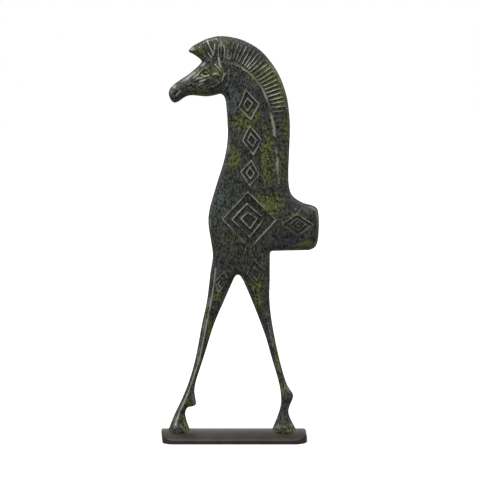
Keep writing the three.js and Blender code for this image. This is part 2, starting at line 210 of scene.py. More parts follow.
def arc(centre: Point, reach: Point, tilt: float, start: float, end: float, count: int = 24) -> Array:
    """Points along an arc of a tilted ellipse, between two angles in degrees.

    Args:
        centre: The ellipse's centre.
        reach: Its half length and half height.
        tilt: How far it is turned anticlockwise, in degrees.
        start: The angle of the first point.
        end: The angle of the last point.
        count: How many points.

    Returns:
        The points, as rows.
    """
    angle = np.radians(np.linspace(start, end, count))
    level = np.stack([reach[0] * np.cos(angle), reach[1] * np.sin(angle)], axis=1)
    lean = math.radians(tilt)
    turn = np.array([[math.cos(lean), math.sin(lean)], [-math.sin(lean), math.cos(lean)]])
    return level @ turn + np.array(centre)


class Noise:
    """Smooth seeded noise in the plane: random values on a lattice, blended by eased weights."""

    LATTICE = 64

    def __init__(self, seed: int) -> None:
        """Draws the lattice's values from -1 to 1."""
        self.values = np.random.default_rng(seed).uniform(-1, 1, (self.LATTICE, self.LATTICE))

    def __call__(self, points: Array, size: float) -> Array:
        """Reads the noise at points, with lumps about as wide as size.

        Args:
            points: The points, as rows.
            size: The lattice's spacing.

        Returns:
            One value from -1 to 1 for each point.
        """
        place = points / size
        cell = np.floor(place).astype(int)
        share = eased_step(0.0, 1.0, place - cell)
        low, high = cell % self.LATTICE, (cell + 1) % self.LATTICE
        x, z = share.T
        bottom = self.values[low[:, 0], low[:, 1]] * (1 - x) + self.values[high[:, 0], low[:, 1]] * x
        top = self.values[low[:, 0], high[:, 1]] * (1 - x) + self.values[high[:, 0], high[:, 1]] * x
        return bottom * (1 - z) + top * z


class Side(Enum):
    """The casting's two sides, with the way each faces along Y."""

    SHOWN = -1
    BACK = 1


class Tone(Enum):
    """The patina's tones, and the rubbed spots that carry painted highlights, each kept as a vertex
    attribute of this name.
    """

    MOSS = "moss"
    VIOLET = "violet"
    TEAL = "teal"
    BROWN = "brown"
    # Rubbed spots: polished high places, painted lighter as highlights.
    RUBBED = "rubbed"


@dataclass(frozen=True)
class Spot:
    """A soft spot of one tone: strength * exp(-q), q the squared distance in half reaches."""

    tone: Tone
    centre: Point
    reach: Point
    strength: float = 1.0
    tilt: float = 0.0

    def weight(self, points: Array) -> Array:
        """How strong the spot is at each point."""
        local = turned(points, self.centre, self.tilt) / np.array(self.reach)
        return self.strength * np.exp(-1.2 * (local**2).sum(axis=1))


@dataclass(frozen=True)
class Outline:
    """The figure's outline in the XZ plane, in stretches that each run smoothly."""

    crest: Line = (
        (-33.0, 289.4), (-30.4, 292.4), (-25.4, 295.3), (-19.0, 298.2), (-9.5, 300.0),
        (2.8, 298.2), (12.9, 293.9), (21.0, 288.1), (28.8, 278.6), (33.8, 269.9),
        (37.4, 260.2), (39.6, 250.3), (41.0, 234.0), (40.5, 215.2), (40.0, 201.0),
        (40.6, 189.5), (43.6, 182.9), (50.6, 178.3), (56.0, 176.8),
    )
    rump: Line = (
        (56.0, 176.8), (60.6, 174.6), (62.2, 169.8), (62.6, 161.0), (61.9, 151.0),
        (60.0, 145.6), (55.5, 143.1),
    )
    belly: Line = ((55.5, 143.1), (28.6, 142.5))
    hind_edge: Line = (
        (28.6, 142.5), (27.2, 141.9), (26.6, 140.4), (26.5, 136.0), (26.5, 122.0),
        (26.3, 106.0), (28.4, 87.4), (33.3, 63.3), (38.3, 45.2), (41.8, 38.2),
    )
    hind_fetlock: Line = (
        (41.8, 38.2), (43.9, 34.8), (43.6, 31.2), (41.4, 25.8), (40.6, 21.0), (42.4, 15.5),
        (45.6, 8.4), (46.0, -1.0),
    )
    hind_front: Line = (
        (28.4, -1.0), (29.0, 8.6), (31.9, 16.8), (34.4, 24.7), (35.0, 31.5), (33.5, 42.9),
        (27.7, 63.3), (22.4, 81.4), (13.2, 105.4), (6.8, 120.4),
    )
    crotch: Line = ((6.8, 120.4), (4.6, 123.8), (2.7, 124.7), (0.8, 123.4), (-0.9, 120.0))
    fore_back: Line = (
        (-0.9, 120.0), (-7.3, 105.4), (-14.9, 87.4), (-22.4, 63.3), (-28.2, 45.2),
        (-29.6, 36.8),
    )
    fore_fetlock: Line = (
        (-29.6, 36.8), (-28.8, 31.5), (-28.3, 27.6), (-30.2, 25.9), (-34.6, 24.6),
        (-36.4, 20.6), (-35.4, 14.6), (-33.6, 8.6), (-33.2, -1.0),
    )
    fore_edge: Line = (
        (-49.1, -1.0), (-48.5, 8.6), (-44.2, 20.1), (-38.8, 31.5), (-33.4, 45.2),
        (-28.4, 63.3), (-23.9, 87.4), (-20.1, 105.4), (-17.5, 126.4),
    )
    chest: Line = (
        (-17.5, 126.4), (-15.7, 139.0), (-17.1, 150.2), (-18.9, 163.0), (-17.9, 174.0),
        (-12.9, 191.6), (-7.4, 209.3), (-4.8, 224.0), (-4.8, 239.0), (-5.9, 252.5),
    )
    throat: Line = ((-5.9, 252.5), (-7.2, 256.2), (-9.6, 258.0), (-13.0, 257.3))
    jaw: Line = ((-13.0, 257.3), (-20.0, 256.2), (-30.5, 257.0), (-35.4, 255.9), (-39.8, 252.9))
    muzzle: Line = (
        (-39.8, 252.9), (-43.1, 251.6), (-46.0, 253.6), (-47.6, 258.2), (-46.2, 262.5),
        (-41.6, 266.7),
    )
    nose: Line = ((-41.6, 266.7), (-33.3, 272.2), (-27.2, 277.2), (-24.0, 280.6))
    brow: Line = ((-24.0, 280.6), (-23.6, 281.9), (-25.0, 283.7))
    forelock: Line = ((-25.0, 283.7), (-29.1, 286.6), (-32.4, 288.3), (-33.0, 289.4))

    def stretches(self) -> tuple[Line, ...]:
        """The stretches in their order round the figure."""
        return (
            self.crest, self.rump, self.belly, self.hind_edge, self.hind_fetlock,
            self.hind_front, self.crotch, self.fore_back, self.fore_fetlock, self.fore_edge,
            self.chest, self.throat, self.jaw, self.muzzle, self.nose, self.brow, self.forelock,
        )

    def loop(self, step: float) -> Array:
        """The whole outline as one loop of points, anticlockwise as the shown side sees it.

        Args:
            step: The spacing wished for.

        Returns:
            The points, as rows.
        """
        runs = []
        stretches = self.stretches()
        for stretch, following in zip(stretches, stretches[1:] + stretches[:1]):
            run = smooth_line(stretch, step)
            jumps = math.dist(stretch[-1], following[0]) > step
            runs.append(run if jumps else run[:-1])
        return np.vstack(runs)[::-1]


class Relief:
    """The carving of one sheet, gathered over its points: height, the crests' lightening as rubbing with a
    painted highlight, and shadowed depth.
    """

    def __init__(self, points: Array) -> None:
        """Starts with nothing carved.

        Args:
            points: The sheet's points, as rows.
        """
        self.points = points
        self.raised = np.zeros(len(points))
        self.sunk = np.zeros(len(points))
        self.form = np.zeros(len(points))
        self.wear = np.zeros(len(points))

    def ridge(
        self, line: Array, height: float | Array, half_width: float | Array,
        closed: bool = False, rub: float | Array = 1.0, crest: float = 3.0,
    ) -> None:
        """Raises a rounded ridge: height * (1 - off^2), off the distance in half widths.

        Args:
            line: The crest's points, as rows.
            height: How far the crest stands out.
            half_width: From the crest to the foot.
            closed: Whether the line closes.
            rub: How strongly the crest is painted lighter, as rubbed metal and as a painted highlight.
            crest: The power of (1 - off^2) that this lightening follows.
        """
        off = distance(self.points, line, closed, reach=3.0) / half_width
        swell = np.clip(1 - off * off, 0, None)
        self.raised = np.maximum(self.raised, height * swell)
        # The crest's lightening: partly rubbed metal, partly a painted highlight where the ridge would
        # catch the light.
        self.wear = np.maximum(self.wear, rub * swell**crest)

    def furrow(self, line: Array, depth: float, half_width: float, closed: bool = False) -> None:
        """Sinks a rounded furrow, the ridge's formula downwards."""
        off = distance(self.points, line, closed, reach=3.0) / half_width
        self.sunk = np.minimum(self.sunk, -depth * np.clip(1 - off * off, 0, None))

    def field(self, share: Array, depth: float | Array) -> None:
        """Sinks a field by depth times its share at each point."""
        self.sunk = np.minimum(self.sunk, -depth * share)

    def dome(self, centre: Point, reach: Point, tilt: float, height: float) -> None:
        """Adds a smooth swelling: height * exp(-1.5 q), q the squared distance in reaches."""
        local = turned(self.points, centre, tilt) / np.array(reach)
        self.form += height * np.exp(-1.5 * (local**2).sum(axis=1))

    def height(self) -> Array:
        """The carving's whole height: a ridge fills the floor that it stands in."""
        floor = 1 - np.clip(self.raised / 0.4, 0, 1)
        return self.form + self.sunk * floor + self.raised

    def recess(self) -> Array:
        """How shadowed each point is, from 0 on the open surface to 1 in the deepest places."""
        floor = 1 - np.clip(self.raised / 0.25, 0, 1)
        return np.clip(-self.sunk / 0.5, 0, 1) * floor


@dataclass(frozen=True)
class Stroke:
    """One stroke of the chisel: a raised line, or a cut where its height is below 0."""

    line: Line
    height: float = 0.5
    half_width: float = 0.8
    # How much the crest is painted lighter: rubbing and painted highlight.
    rub: float = 0.7

    def carve(self, relief: Relief) -> None:
        """Raises or cuts the stroke.

        Args:
            relief: The sheet's relief.
        """
        line = smooth_line(self.line, 0.6)
        if self.height > 0:
            relief.ridge(line, self.height, self.half_width, rub=self.rub)
        else:
            relief.furrow(line, -self.height, self.half_width)


@dataclass(frozen=True)
class Lozenges:
    """Nested raised frames on a sunk field, each as corners top, right, bottom and left."""

    chest: tuple[Line, ...] = (
        ((10.1, 186.9), (30.6, 166.5), (12.1, 145.3), (-8.2, 166.7)),
        ((9.4, 178.3), (22.1, 167.5), (11.4, 153.7), (-1.4, 166.5)),
        ((9.9, 172.0), (16.8, 167.5), (11.9, 160.3), (5.0, 167.3)),
    )
    neck_top: tuple[Line, ...] = (
        ((8.7, 261.1), (18.3, 250.9), (12.3, 239.7), (3.3, 248.4)),
        ((9.6, 255.0), (13.5, 251.7), (9.9, 245.8), (6.8, 250.2)),
    )
    neck_middle: tuple[Line, ...] = (
        ((11.6, 235.1), (20.2, 225.1), (14.0, 214.2), (6.2, 224.6)),
        ((12.2, 229.7), (16.4, 224.9), (14.0, 220.0), (9.6, 224.6)),
    )
    neck_low: tuple[Line, ...] = (
        ((12.6, 209.8), (18.3, 199.3), (11.3, 191.6), (5.0, 201.6)),
        ((11.6, 205.0), (14.7, 200.5), (12.0, 196.6), (8.8, 201.0)),
    )
    rump: tuple[Line, ...] = (
        ((46.4, 170.3), (57.9, 163.0), (46.7, 154.3), (35.1, 163.0)),
        ((46.6, 167.2), (52.4, 163.0), (46.8, 158.2), (40.4, 163.0)),
        ((47.0, 164.9), (49.2, 162.9), (47.2, 160.9), (44.9, 162.9)),
    )
    fore_leg: tuple[Line, ...] = (
        ((-6.9, 127.6), (-4.2, 121.2), (-11.6, 112.8), (-13.8, 120.7)),
        ((-8.6, 123.0), (-7.4, 120.2), (-10.6, 116.4), (-11.7, 119.2)),
    )
    hind_leg: tuple[Line, ...] = (
        ((14.7, 137.0), (22.9, 127.9), (19.2, 115.8), (9.8, 126.0)),
        ((14.9, 131.0), (19.3, 126.6), (17.2, 120.8), (12.6, 126.4)),
    )
    line_height: float = 0.7
    half_width: float = 0.85
    field_depth: float = 0.38

    def sets(self, side: Side) -> tuple[tuple[tuple[Line, ...], float], ...]:
        """The sets on one side, each with how much its lines' crests are painted lighter, as rubbing and
        painted highlight.

        Args:
            side: The side asked for. The back has the large one alone.

        Returns:
            Pairs of nested frames and how much their crests are lightened.
        """
        if side is Side.BACK:
            return ((self.chest, 0.55),)
        return (
            (self.chest, 1.0), (self.neck_top, 0.9), (self.neck_middle, 0.95),
            (self.neck_low, 1.0), (self.rump, 0.6), (self.fore_leg, 0.7),
            (self.hind_leg, 0.75),
        )

    def carve(self, relief: Relief, side: Side) -> None:
        """Sinks each set's field and raises its frames.

        Args:
            relief: The sheet's relief.
            side: The side being carved.
        """
        for frames, rub in self.sets(side):
            outer = np.array(frames[0])
            depth = distance(relief.points, outer, closed=True)
            depth = np.where(inside(relief.points, outer), depth, 0)
            relief.field(eased_step(0.5, 1.4, depth), self.field_depth)
            for corners in frames:
                relief.ridge(np.array(corners), self.line_height, self.half_width, True, rub)

    def near(self, points: Array, side: Side, margin: float) -> Array:
        """Whether each point is on a set or close to one.

        Args:
            points: The points, as rows.
            side: The side.
            margin: How close counts.

        Returns:
            One truth value for each point.
        """
        found = np.zeros(len(points), bool)
        for frames, _ in self.sets(side):
            outer = np.array(frames[0])
            found |= inside(points, outer) | (distance(points, outer, closed=True) < margin)
        return found


@dataclass(frozen=True)
class Mane:
    """The mane: a smooth rim along the crest, a band of strands and a border inside it."""

    border: Line = (
        (-2.7, 280.3), (4.1, 277.6), (9.9, 274.0), (14.8, 269.6), (19.6, 263.6),
        (24.0, 254.0), (27.6, 241.5), (29.6, 230.0), (31.0, 214.3), (31.9, 202.0),
        (33.2, 191.5),
    )
    border_height: float = 0.6
    border_half_width: float = 1.4
    spacing: float = 3.5
    first: float = 26.5
    last: float = 150.0
    rim: float = 3.0
    height: float = 0.5
    half_width: float = 0.7
    pocket_depth: float = 0.34
    longest: float = 13.0
    border_gap: float = 1.6
    fading: Point = (232.0, 256.0)
    locks: tuple[Stroke, ...] = (
        Stroke(((-19.7, 297.1), (-18.0, 293.1), (-16.1, 289.1), (-15.2, 285.8)), 0.6, 0.9, 1.0),
        Stroke(((-13.9, 294.2), (-14.3, 289.8), (-15.1, 285.8)), 0.6, 0.9, 0.9),
        Stroke(((-18.3, 287.1), (-17.2, 285.4), (-15.9, 284.0)), 0.6, 0.8, 1.2),
        Stroke(((-21.0, 294.9), (-20.4, 289.8)), 0.4, 0.7, 0.4),
        Stroke(((-22.6, 295.8), (-21.9, 291.7)), 0.4, 0.7, 0.5),
        Stroke(((-16.8, 298.5), (-15.2, 296.0)), 0.5, 0.7, 0.6),
        Stroke(((-12.3, 298.6), (-11.9, 296.3)), 0.5, 0.7, 0.8),
        Stroke(((-27.4, 291.3), (-25.5, 289.8), (-23.5, 287.3)), 0.5, 0.8, 0.6),
        Stroke(((-25.2, 292.4), (-23.4, 289.5), (-21.5, 285.8)), 0.5, 0.8, 0.6),
        Stroke(((-29.4, 290.6), (-27.6, 289.2), (-25.6, 286.6)), 0.4, 0.7, 0.4),
        Stroke(((-22.3, 286.4), (-20.4, 284.6)), 0.5, 0.7, 0.7),
        Stroke(((-30.6, 288.4), (-27.4, 286.6), (-24.3, 284.9)), 0.5, 0.9, 0.5),
        Stroke(((-22.9, 283.8), (-20.7, 284.6)), 0.5, 0.8, 0.9),
        Stroke(((-12.8, 292.7), (-13.0, 285.4)), 0.4, 0.6, 0.4),
        Stroke(((-4.1, 298.0), (-4.2, 293.2), (-3.8, 286.0)), 0.5, 0.8, 0.5),
        Stroke(((-0.8, 297.4), (-1.4, 290.0), (-1.6, 284.0)), 0.4, 0.7, 0.4),
    )
    forelock_field: Line = (
        (-30.2, 290.6), (-25.6, 293.4), (-19.0, 296.3), (-12.2, 297.8), (-12.0, 285.0),
        (-16.2, 281.9), (-21.5, 283.6), (-25.8, 286.2),
    )

    def strands(self, outline: Outline) -> Array:
        """The strands' two ends, worked out for all of them at once.

        A strand starts a rim's width inside the crest, runs square to it, and stops short of
        the border.

        Args:
            outline: The figure's outline, for its crest.

        Returns:
            An array of strand, end and coordinate.
        """
        crest = smooth_line(outline.crest, 0.25)
        along = np.append(0, np.cumsum(np.linalg.norm(np.diff(crest, axis=0), axis=1)))
        tangent = np.gradient(crest, axis=0)
        tangent /= np.linalg.norm(tangent, axis=1, keepdims=True)
        place = np.arange(self.first, self.last, self.spacing)
        base = np.stack([np.interp(place, along, crest[:, k]) for k in (0, 1)], axis=1)
        lean = np.stack([np.interp(place, along, tangent[:, k]) for k in (0, 1)], axis=1)
        inward = np.stack([lean[:, 1], -lean[:, 0]], axis=1)
        reach = np.arange(self.rim, self.rim + self.longest, 0.25)
        trial = base[:, None] + reach[None, :, None] * inward[:, None]
        gap = distance(trial.reshape(-1, 2), smooth_line(self.border, 1.0)).reshape(trial.shape[:2])
        blocked = gap < self.border_gap
        stop = np.where(blocked.any(axis=1), blocked.argmax(axis=1) - 1, len(reach) - 1)
        stop = np.maximum(stop, 1)
        ends = trial[np.arange(len(base)), stop]
        return np.stack([trial[:, 0], ends], axis=1)

    def band(self, points: Array, outline: Outline) -> Array:
        """How far into the band of strands each point is: 0 outside and 1 well inside.

        Args:
            points: The points, as rows.
            outline: The figure's outline, for its crest.

        Returns:
            One share for each point.
        """
        crest = smooth_line(outline.crest, 1.0)
        border = smooth_line(self.border, 1.0)
        upper = crest[(crest[:, 0] > self.border[0][0]) & (crest[:, 1] > self.border[-1][1])]
        loop = np.vstack([upper, border[::-1]])
        across = eased_step(self.rim - 0.6, self.rim + 0.5, distance(points, crest))
        short = eased_step(0.9, 1.7, distance(points, border))
        return np.where(inside(points, loop), across * short, 0)

    def strength(self, points: Array) -> Array:
        """How deep the strands are cut at each height: they fade down the neck."""
        return 0.35 + 0.65 * eased_step(self.fading[0], self.fading[1], points[:, 1])

    def carve(self, relief: Relief, outline: Outline) -> None:
        """Cuts the band's pockets and raises its strands, locks and border.

        Args:
            relief: The sheet's relief.
            outline: The figure's outline.
        """
        strength = self.strength(relief.points)
        relief.field(self.band(relief.points, outline), self.pocket_depth * strength)
        field = np.array(self.forelock_field)
        depth = np.where(inside(relief.points, field), distance(relief.points, field, True), 0)
        relief.field(eased_step(0, 0.8, depth), self.pocket_depth)
        for ends in self.strands(outline):
            relief.ridge(ends, self.height * strength, self.half_width, rub=0.85 * strength)
        for lock in self.locks:
            lock.carve(relief)
        border = smooth_line(self.border, 1.0)
        width = self.border_half_width * (1.45 - 0.45 * strength)
        relief.ridge(border, self.border_height, width, rub=0.62, crest=1.2)

    def near(self, points: Array, outline: Outline, margin: float) -> Array:
        """Whether each point is in the band or near the border or the forelock.

        Args:
            points: The points, as rows.
            outline: The figure's outline.
            margin: How close counts.

        Returns:
            One truth value for each point.
        """
        found = self.band(points, outline) > 0
        found |= distance(points, smooth_line(self.border, 1.0)) < margin
        field = np.array(self.forelock_field)
        return found | inside(points, field) | (distance(points, field, True) < margin)


@dataclass(frozen=True)
class Head:
    """The head's modelling: an ear, an eye between lids, a cheek, a nostril and a mouth."""

    ear: Line = (
        (-9.2, 295.6), (-10.9, 292.4), (-11.4, 288.5), (-10.9, 284.0), (-9.6, 281.2),
        (-8.0, 281.2), (-6.9, 284.0), (-6.6, 288.5), (-7.5, 292.6), (-9.2, 295.6),
    )
    eye: Point = (-20.9, 273.0)
    cheek: Point = (-14.4, 268.6)
    cheek_radius: float = 5.6
    ear_strokes: tuple[Stroke, ...] = (
        Stroke(((-9.0, 294.2), (-8.7, 289.1)), 0.5, 0.6, 0.8),
        Stroke(((-11.0, 283.6), (-10.4, 280.7), (-9.6, 277.6)), 0.9, 1.3, 1.9),
        Stroke(((-13.5, 279.3), (-11.3, 277.1), (-9.4, 274.0)), 0.7, 1.0, 0.8),
    )
    eye_strokes: tuple[Stroke, ...] = (
        Stroke(((-27.4, 273.6), (-24.1, 276.3), (-21.2, 278.0), (-18.6, 280.2)), -0.5, 0.9),
        Stroke(((-25.0, 273.4), (-23.2, 275.2), (-20.9, 276.6), (-19.2, 275.9), (-17.7, 274.1)),
               0.6, 0.9, 0.65),
        Stroke(((-23.9, 272.2), (-22.4, 274.0), (-20.4, 274.9), (-18.6, 273.6)), -0.5, 0.6),
        Stroke(((-23.6, 271.7), (-21.2, 270.8), (-18.4, 271.6)), 0.6, 0.8, 1.0),
        Stroke(((-17.4, 276.6), (-16.2, 274.4), (-16.6, 271.6)), -0.4, 0.8),
    )
    face_strokes: tuple[Stroke, ...] = (
        Stroke(((-29.4, 269.4), (-27.7, 270.9), (-25.6, 272.7)), 0.45, 0.9, 0.9),
        Stroke(((-28.3, 268.0), (-25.5, 269.4), (-22.6, 269.7)), 0.45, 0.8, 0.6),
        Stroke(((-31.4, 266.9), (-28.0, 266.2), (-26.0, 267.2)), -0.35, 0.9),
        Stroke(((-24.9, 266.6), (-23.0, 267.7), (-21.0, 268.2)), 0.6, 1.1, 0.75),
        Stroke(((-25.6, 264.3), (-24.1, 265.3), (-22.8, 265.7)), 0.5, 1.0, 0.7),
        Stroke(((-21.4, 266.6), (-19.2, 265.0), (-17.6, 263.0)), -0.4, 0.9),
        Stroke(((-33.8, 264.7), (-31.4, 266.0)), 0.4, 0.8, 0.6),
        Stroke(((-34.0, 263.2), (-31.0, 263.8), (-28.6, 263.0)), -0.4, 0.9),
        Stroke(((-20.6, 261.8), (-17.4, 262.4)), 0.35, 0.8, 0.5),
    )
    cheek_strokes: tuple[Stroke, ...] = (
        Stroke(((-15.4, 272.4), (-12.8, 272.9), (-10.6, 271.8)), 0.55, 1.0, 0.8),
        Stroke(((-16.6, 262.8), (-14.3, 263.5), (-12.6, 264.6), (-11.0, 266.3)), 0.7, 0.9, 1.0),
        Stroke(((-15.8, 260.9), (-12.4, 261.9), (-9.6, 264.8)), -0.5, 1.0),
        Stroke(((-8.8, 267.8), (-7.9, 270.2), (-6.5, 272.7)), 0.65, 0.9, 0.9),
        Stroke(((-18.4, 269.6), (-16.6, 268.4)), 0.4, 0.8, 0.5),
    )
    muzzle_strokes: tuple[Stroke, ...] = (
        Stroke(((-41.2, 260.3), (-42.0, 258.9), (-43.2, 257.7)), -0.8, 0.8),
        Stroke(((-41.9, 256.7), (-40.7, 258.5), (-39.0, 260.1)), 0.6, 0.8, 1.3),
        Stroke(((-45.8, 255.0), (-42.4, 254.6), (-39.4, 255.7), (-37.4, 257.2)), -0.6, 0.7),
        Stroke(((-38.4, 262.2), (-37.0, 260.6), (-36.4, 258.6)), -0.35, 0.9),
    )
    neck_strokes: tuple[Stroke, ...] = (
        Stroke(((-3.2, 285.0), (-3.4, 277.0), (-4.0, 269.4), (-5.6, 263.4), (-8.2, 260.2)),
               0.6, 1.4, 0.55),
        Stroke(((-6.8, 276.6), (-6.4, 270.0), (-7.4, 264.2)), -0.5, 1.0),
        Stroke(((4.1, 272.8), (0.4, 269.0), (-1.8, 265.6), (-3.0, 262.0)), 0.35, 0.7, 0.7),
        Stroke(((-36.0, 257.9), (-28.0, 259.0), (-19.0, 258.6), (-12.0, 260.2)), -0.3, 1.0),
    )

    def carve(self, relief: Relief) -> None:
        """Models the head over the sheet's points.

        Args:
            relief: The sheet's relief.
        """
        self.carve_ear(relief)
        self.carve_forms(relief)
        strokes = (
            self.ear_strokes + self.eye_strokes + self.face_strokes + self.cheek_strokes
            + self.muzzle_strokes + self.neck_strokes
        )
        for stroke in strokes:
            stroke.carve(relief)

    def carve_ear(self, relief: Relief) -> None:
        """An upright leaf with a raised edge round a hollow.

        Args:
            relief: The sheet's relief.
        """
        leaf = smooth_line(self.ear, 0.4)
        depth = np.where(inside(relief.points, leaf), distance(relief.points, leaf, True), 0)
        relief.field(eased_step(0.3, 1.3, depth), 0.75)
        relief.ridge(leaf, 0.75, 0.75, closed=True, rub=0.9)

    def carve_forms(self, relief: Relief) -> None:
        """The swelling forms: a sunk socket with its ball, the cheek with its hollow, the lips.

        Args:
            relief: The sheet's relief.
        """
        relief.dome(self.eye, (5.0, 4.4), 25, -0.6)
        relief.dome(self.eye, (1.7, 1.2), 20, 1.2)
        radius = self.cheek_radius
        relief.dome(self.cheek, (radius, radius), 0, 0.8)
        relief.furrow(arc(self.cheek, (radius, radius), 0, 100, 330, 48), 0.4, 1.1)
        relief.dome((-13.2, 269.2), (1.4, 1.4), 0, -0.9)
        relief.dome((-42.6, 261.2), (4.2, 3.4), 20, 0.9)
        relief.dome((-42.1, 263.9), (1.3, 1.0), 30, 0.35)
        relief.dome((-44.4, 259.6), (1.1, 1.2), 0, 0.35)


@dataclass(frozen=True)
class Legs:
    """The legs' edges between their facets, and a short ridge down into the fore fetlock's spur."""

    fore_ridge: Line = (
        (-13.5, 130.4), (-15.2, 116.0), (-17.3, 103.9), (-21.0, 85.0), (-26.0, 61.0),
        (-32.1, 43.2), (-36.6, 31.0), (-41.2, 20.9), (-43.6, 13.0),
    )
    spur_ridge: Line = ((-30.6, 44.0), (-30.9, 36.0), (-29.6, 29.0))
    hind_ridge: Line = (
        (23.4, 136.0), (23.3, 120.0), (23.4, 104.0), (25.7, 86.0), (30.9, 63.0), (35.9, 46.0),
        (38.6, 36.0),
    )

    def carve(self, relief: Relief) -> None:
        """Raises the edges over the sheet's points.

        Args:
            relief: The sheet's relief.
        """
        fore = smooth_line(self.fore_ridge, 1.5)
        hind = smooth_line(self.hind_ridge, 1.5)
        relief.form += self.roof(relief.points, fore, 0.5, 3.2)
        relief.form += self.roof(relief.points, hind, 0.35, 2.6)
        # The edges' crests are painted lighter: mostly a painted highlight along the leg's edge, with some
        # rubbing.
        relief.ridge(fore, 0.5, 1.0, rub=1.3)
        relief.ridge(smooth_line(self.spur_ridge, 1.0), 0.4, 0.9, rub=0.6)
        relief.ridge(hind, 0.25, 1.0, rub=0.5)

    def roof(self, points: Array, line: Array, height: float, reach: float) -> Array:
        """A roof along a line: it falls evenly from height on the line to nothing at its reach."""
        return height * np.clip(1 - distance(points, line) / reach, 0, None)

    def near(self, points: Array, margin: float) -> Array:
        """Whether each point is near an edge."""
        found = distance(points, smooth_line(self.fore_ridge, 1.5)) < margin
        return found | (distance(points, smooth_line(self.hind_ridge, 1.5)) < margin)


class Value:
    """A socket on its way through a node tree, open to Python arithmetic."""

    def __init__(self, nodes: Nodes, socket: bpy.types.NodeSocket) -> None:
        """Holds a node's output."""
        self.nodes = nodes
        self.socket = socket

    def math(self, operation: str, *terms: Value | float, clamp: bool = False) -> Value:
        """Adds a Math node for an operation on terms."""
        settings = {"operation": operation, "use_clamp": clamp}
        return self.nodes.node("ShaderNodeMath", settings, dict(enumerate(terms)))

    def __add__(self, other: Value | float) -> Value:
        """The sum."""
        return self.math("ADD", self, other)

    def __radd__(self, other: float) -> Value:
        """The sum, with a number first."""
        return self.math("ADD", other, self)

    def __sub__(self, other: Value | float) -> Value:
        """The difference."""
        return self.math("SUBTRACT", self, other)

    def __rsub__(self, other: float) -> Value:
        """The difference, with a number first."""
        return self.math("SUBTRACT", other, self)

    def __mul__(self, other: Value | float) -> Value:
        """The product."""
        return self.math("MULTIPLY", self, other)

    def __rmul__(self, other: float) -> Value:
        """The product, with a number first."""
        return self.math("MULTIPLY", other, self)

    def __pow__(self, power: float) -> Value:
        """The power."""
        return self.math("POWER", self, power)

    def clamped(self) -> Value:
        """The value held between 0 and 1."""
        return self.math("ADD", self, 0.0, clamp=True)

    def step(self, low: float, high: float) -> Value:
        """A smooth step from 0 at low to 1 at high."""
        inputs = {"Value": self, "From Min": low, "From Max": high}
        return self.nodes.node("ShaderNodeMapRange", {"interpolation_type": "SMOOTHSTEP"}, inputs)


class Nodes:
    """A node tree, built from Python expressions."""

    def __init__(self, tree: bpy.types.NodeTree) -> None:
        """Holds the tree."""
        self.tree = tree

    def plug(self, socket: bpy.types.NodeSocket, value: Value | float | Colour) -> None:
        """Links a value to a socket, or writes a number or colour on it.

        Args:
            socket: The socket to feed.
            value: A value of this tree, a number, or a colour of three numbers.
        """
        if isinstance(value, Value):
            self.tree.links.new(value.socket, socket)
        elif isinstance(value, tuple) and len(socket.default_value) == 4:
            socket.default_value = (*value, 1.0)
        else:
            socket.default_value = value

    def node(
        self, kind: str, settings: Mapping[str, object] | None = None,
        inputs: Mapping[str | int, Value | float | Colour] | None = None, output: str | int = 0,
    ) -> Value:
        """Adds one node.

        Args:
            kind: The node's type.
            settings: Its properties, set first.
            inputs: What feeds its sockets, by name or number.
            output: Which output is wanted.

        Returns:
            The output as a value.
        """
        made = self.tree.nodes.new(kind)
        for key, value in (settings or {}).items():
            setattr(made, key, value)
        for key, value in (inputs or {}).items():
            self.plug(made.inputs[key], value)
        return Value(self, made.outputs[output])

    def noise(self, place: Value, size: float, detail: float = 4, rough: float = 0.6) -> Value:
        """Cloudy noise from 0 to 1.

        Args:
            place: Where it is read.
            size: The lumps' size in millimetres.
            detail: How many finer layers it has.
            rough: How strong each finer layer is.

        Returns:
            The noise.
        """
        inputs = {"Vector": place, "Scale": 1 / (size * MM), "Detail": detail, "Roughness": rough}
        return self.node("ShaderNodeTexNoise", {}, inputs)

    def stretched(self, place: Value, scale: Colour) -> Value:
        """A place stretched along the axes."""
        settings = {"operation": "MULTIPLY"}
        return self.node("ShaderNodeVectorMath", settings, {0: place, 1: scale})

    def blend(self, share: Value | float, first: Value | Colour, second: Value | Colour) -> Value:
        """A colour between two colours.

        Args:
            share: 0 for the first and 1 for the second.
            first: The first colour.
            second: The second colour.

        Returns:
            The blended colour.
        """
        settings = {"data_type": "RGBA", "clamp_factor": True}
        inputs = {"Factor": share, 6: first, 7: second}
        return self.node("ShaderNodeMix", settings, inputs, 2)

    def scaled(self, colour: Value | Colour, strength: Value) -> Value:
        """A colour made lighter or darker by a value."""
        settings = {"operation": "SCALE"}
        return self.node("ShaderNodeVectorMath", settings, {0: colour, "Scale": strength})


class Shader(Nodes):
    """A material with one principled shader."""

    def __init__(self, name: str, **fixed: float | Colour) -> None:
        """Makes the material.

        Args:
            name: The material's name.
            **fixed: Values that are the same all over, by socket name with _ for a space.
        """
        self.material = bpy.data.materials.new(name)
        self.material.use_nodes = True
        super().__init__(self.material.node_tree)
        self.surface = self.tree.nodes["Principled BSDF"]
        for key, value in fixed.items():
            self.set(key.replace("_", " "), value)

    def set(self, socket: str, value: Value | float | Colour) -> None:
        """Sets or links one of the principled shader's sockets."""
        self.plug(self.surface.inputs[socket], value)

    def place(self) -> Value:
        """The object's own coordinates, in metres."""
        return self.node("ShaderNodeTexCoord", output="Object")

    def attribute(self, name: str) -> Value:
        """A vertex attribute."""
        return self.node("ShaderNodeAttribute", {"attribute_name": name}, output="Fac")

    def bump(self, height: Value, depth: float, strength: float) -> None:
        """Feeds the surface's normal with a bump of a depth in millimetres."""
        inputs = {"Height": height, "Distance": depth * MM, "Strength": strength}
        self.set("Normal", self.node("ShaderNodeBump", {}, inputs))


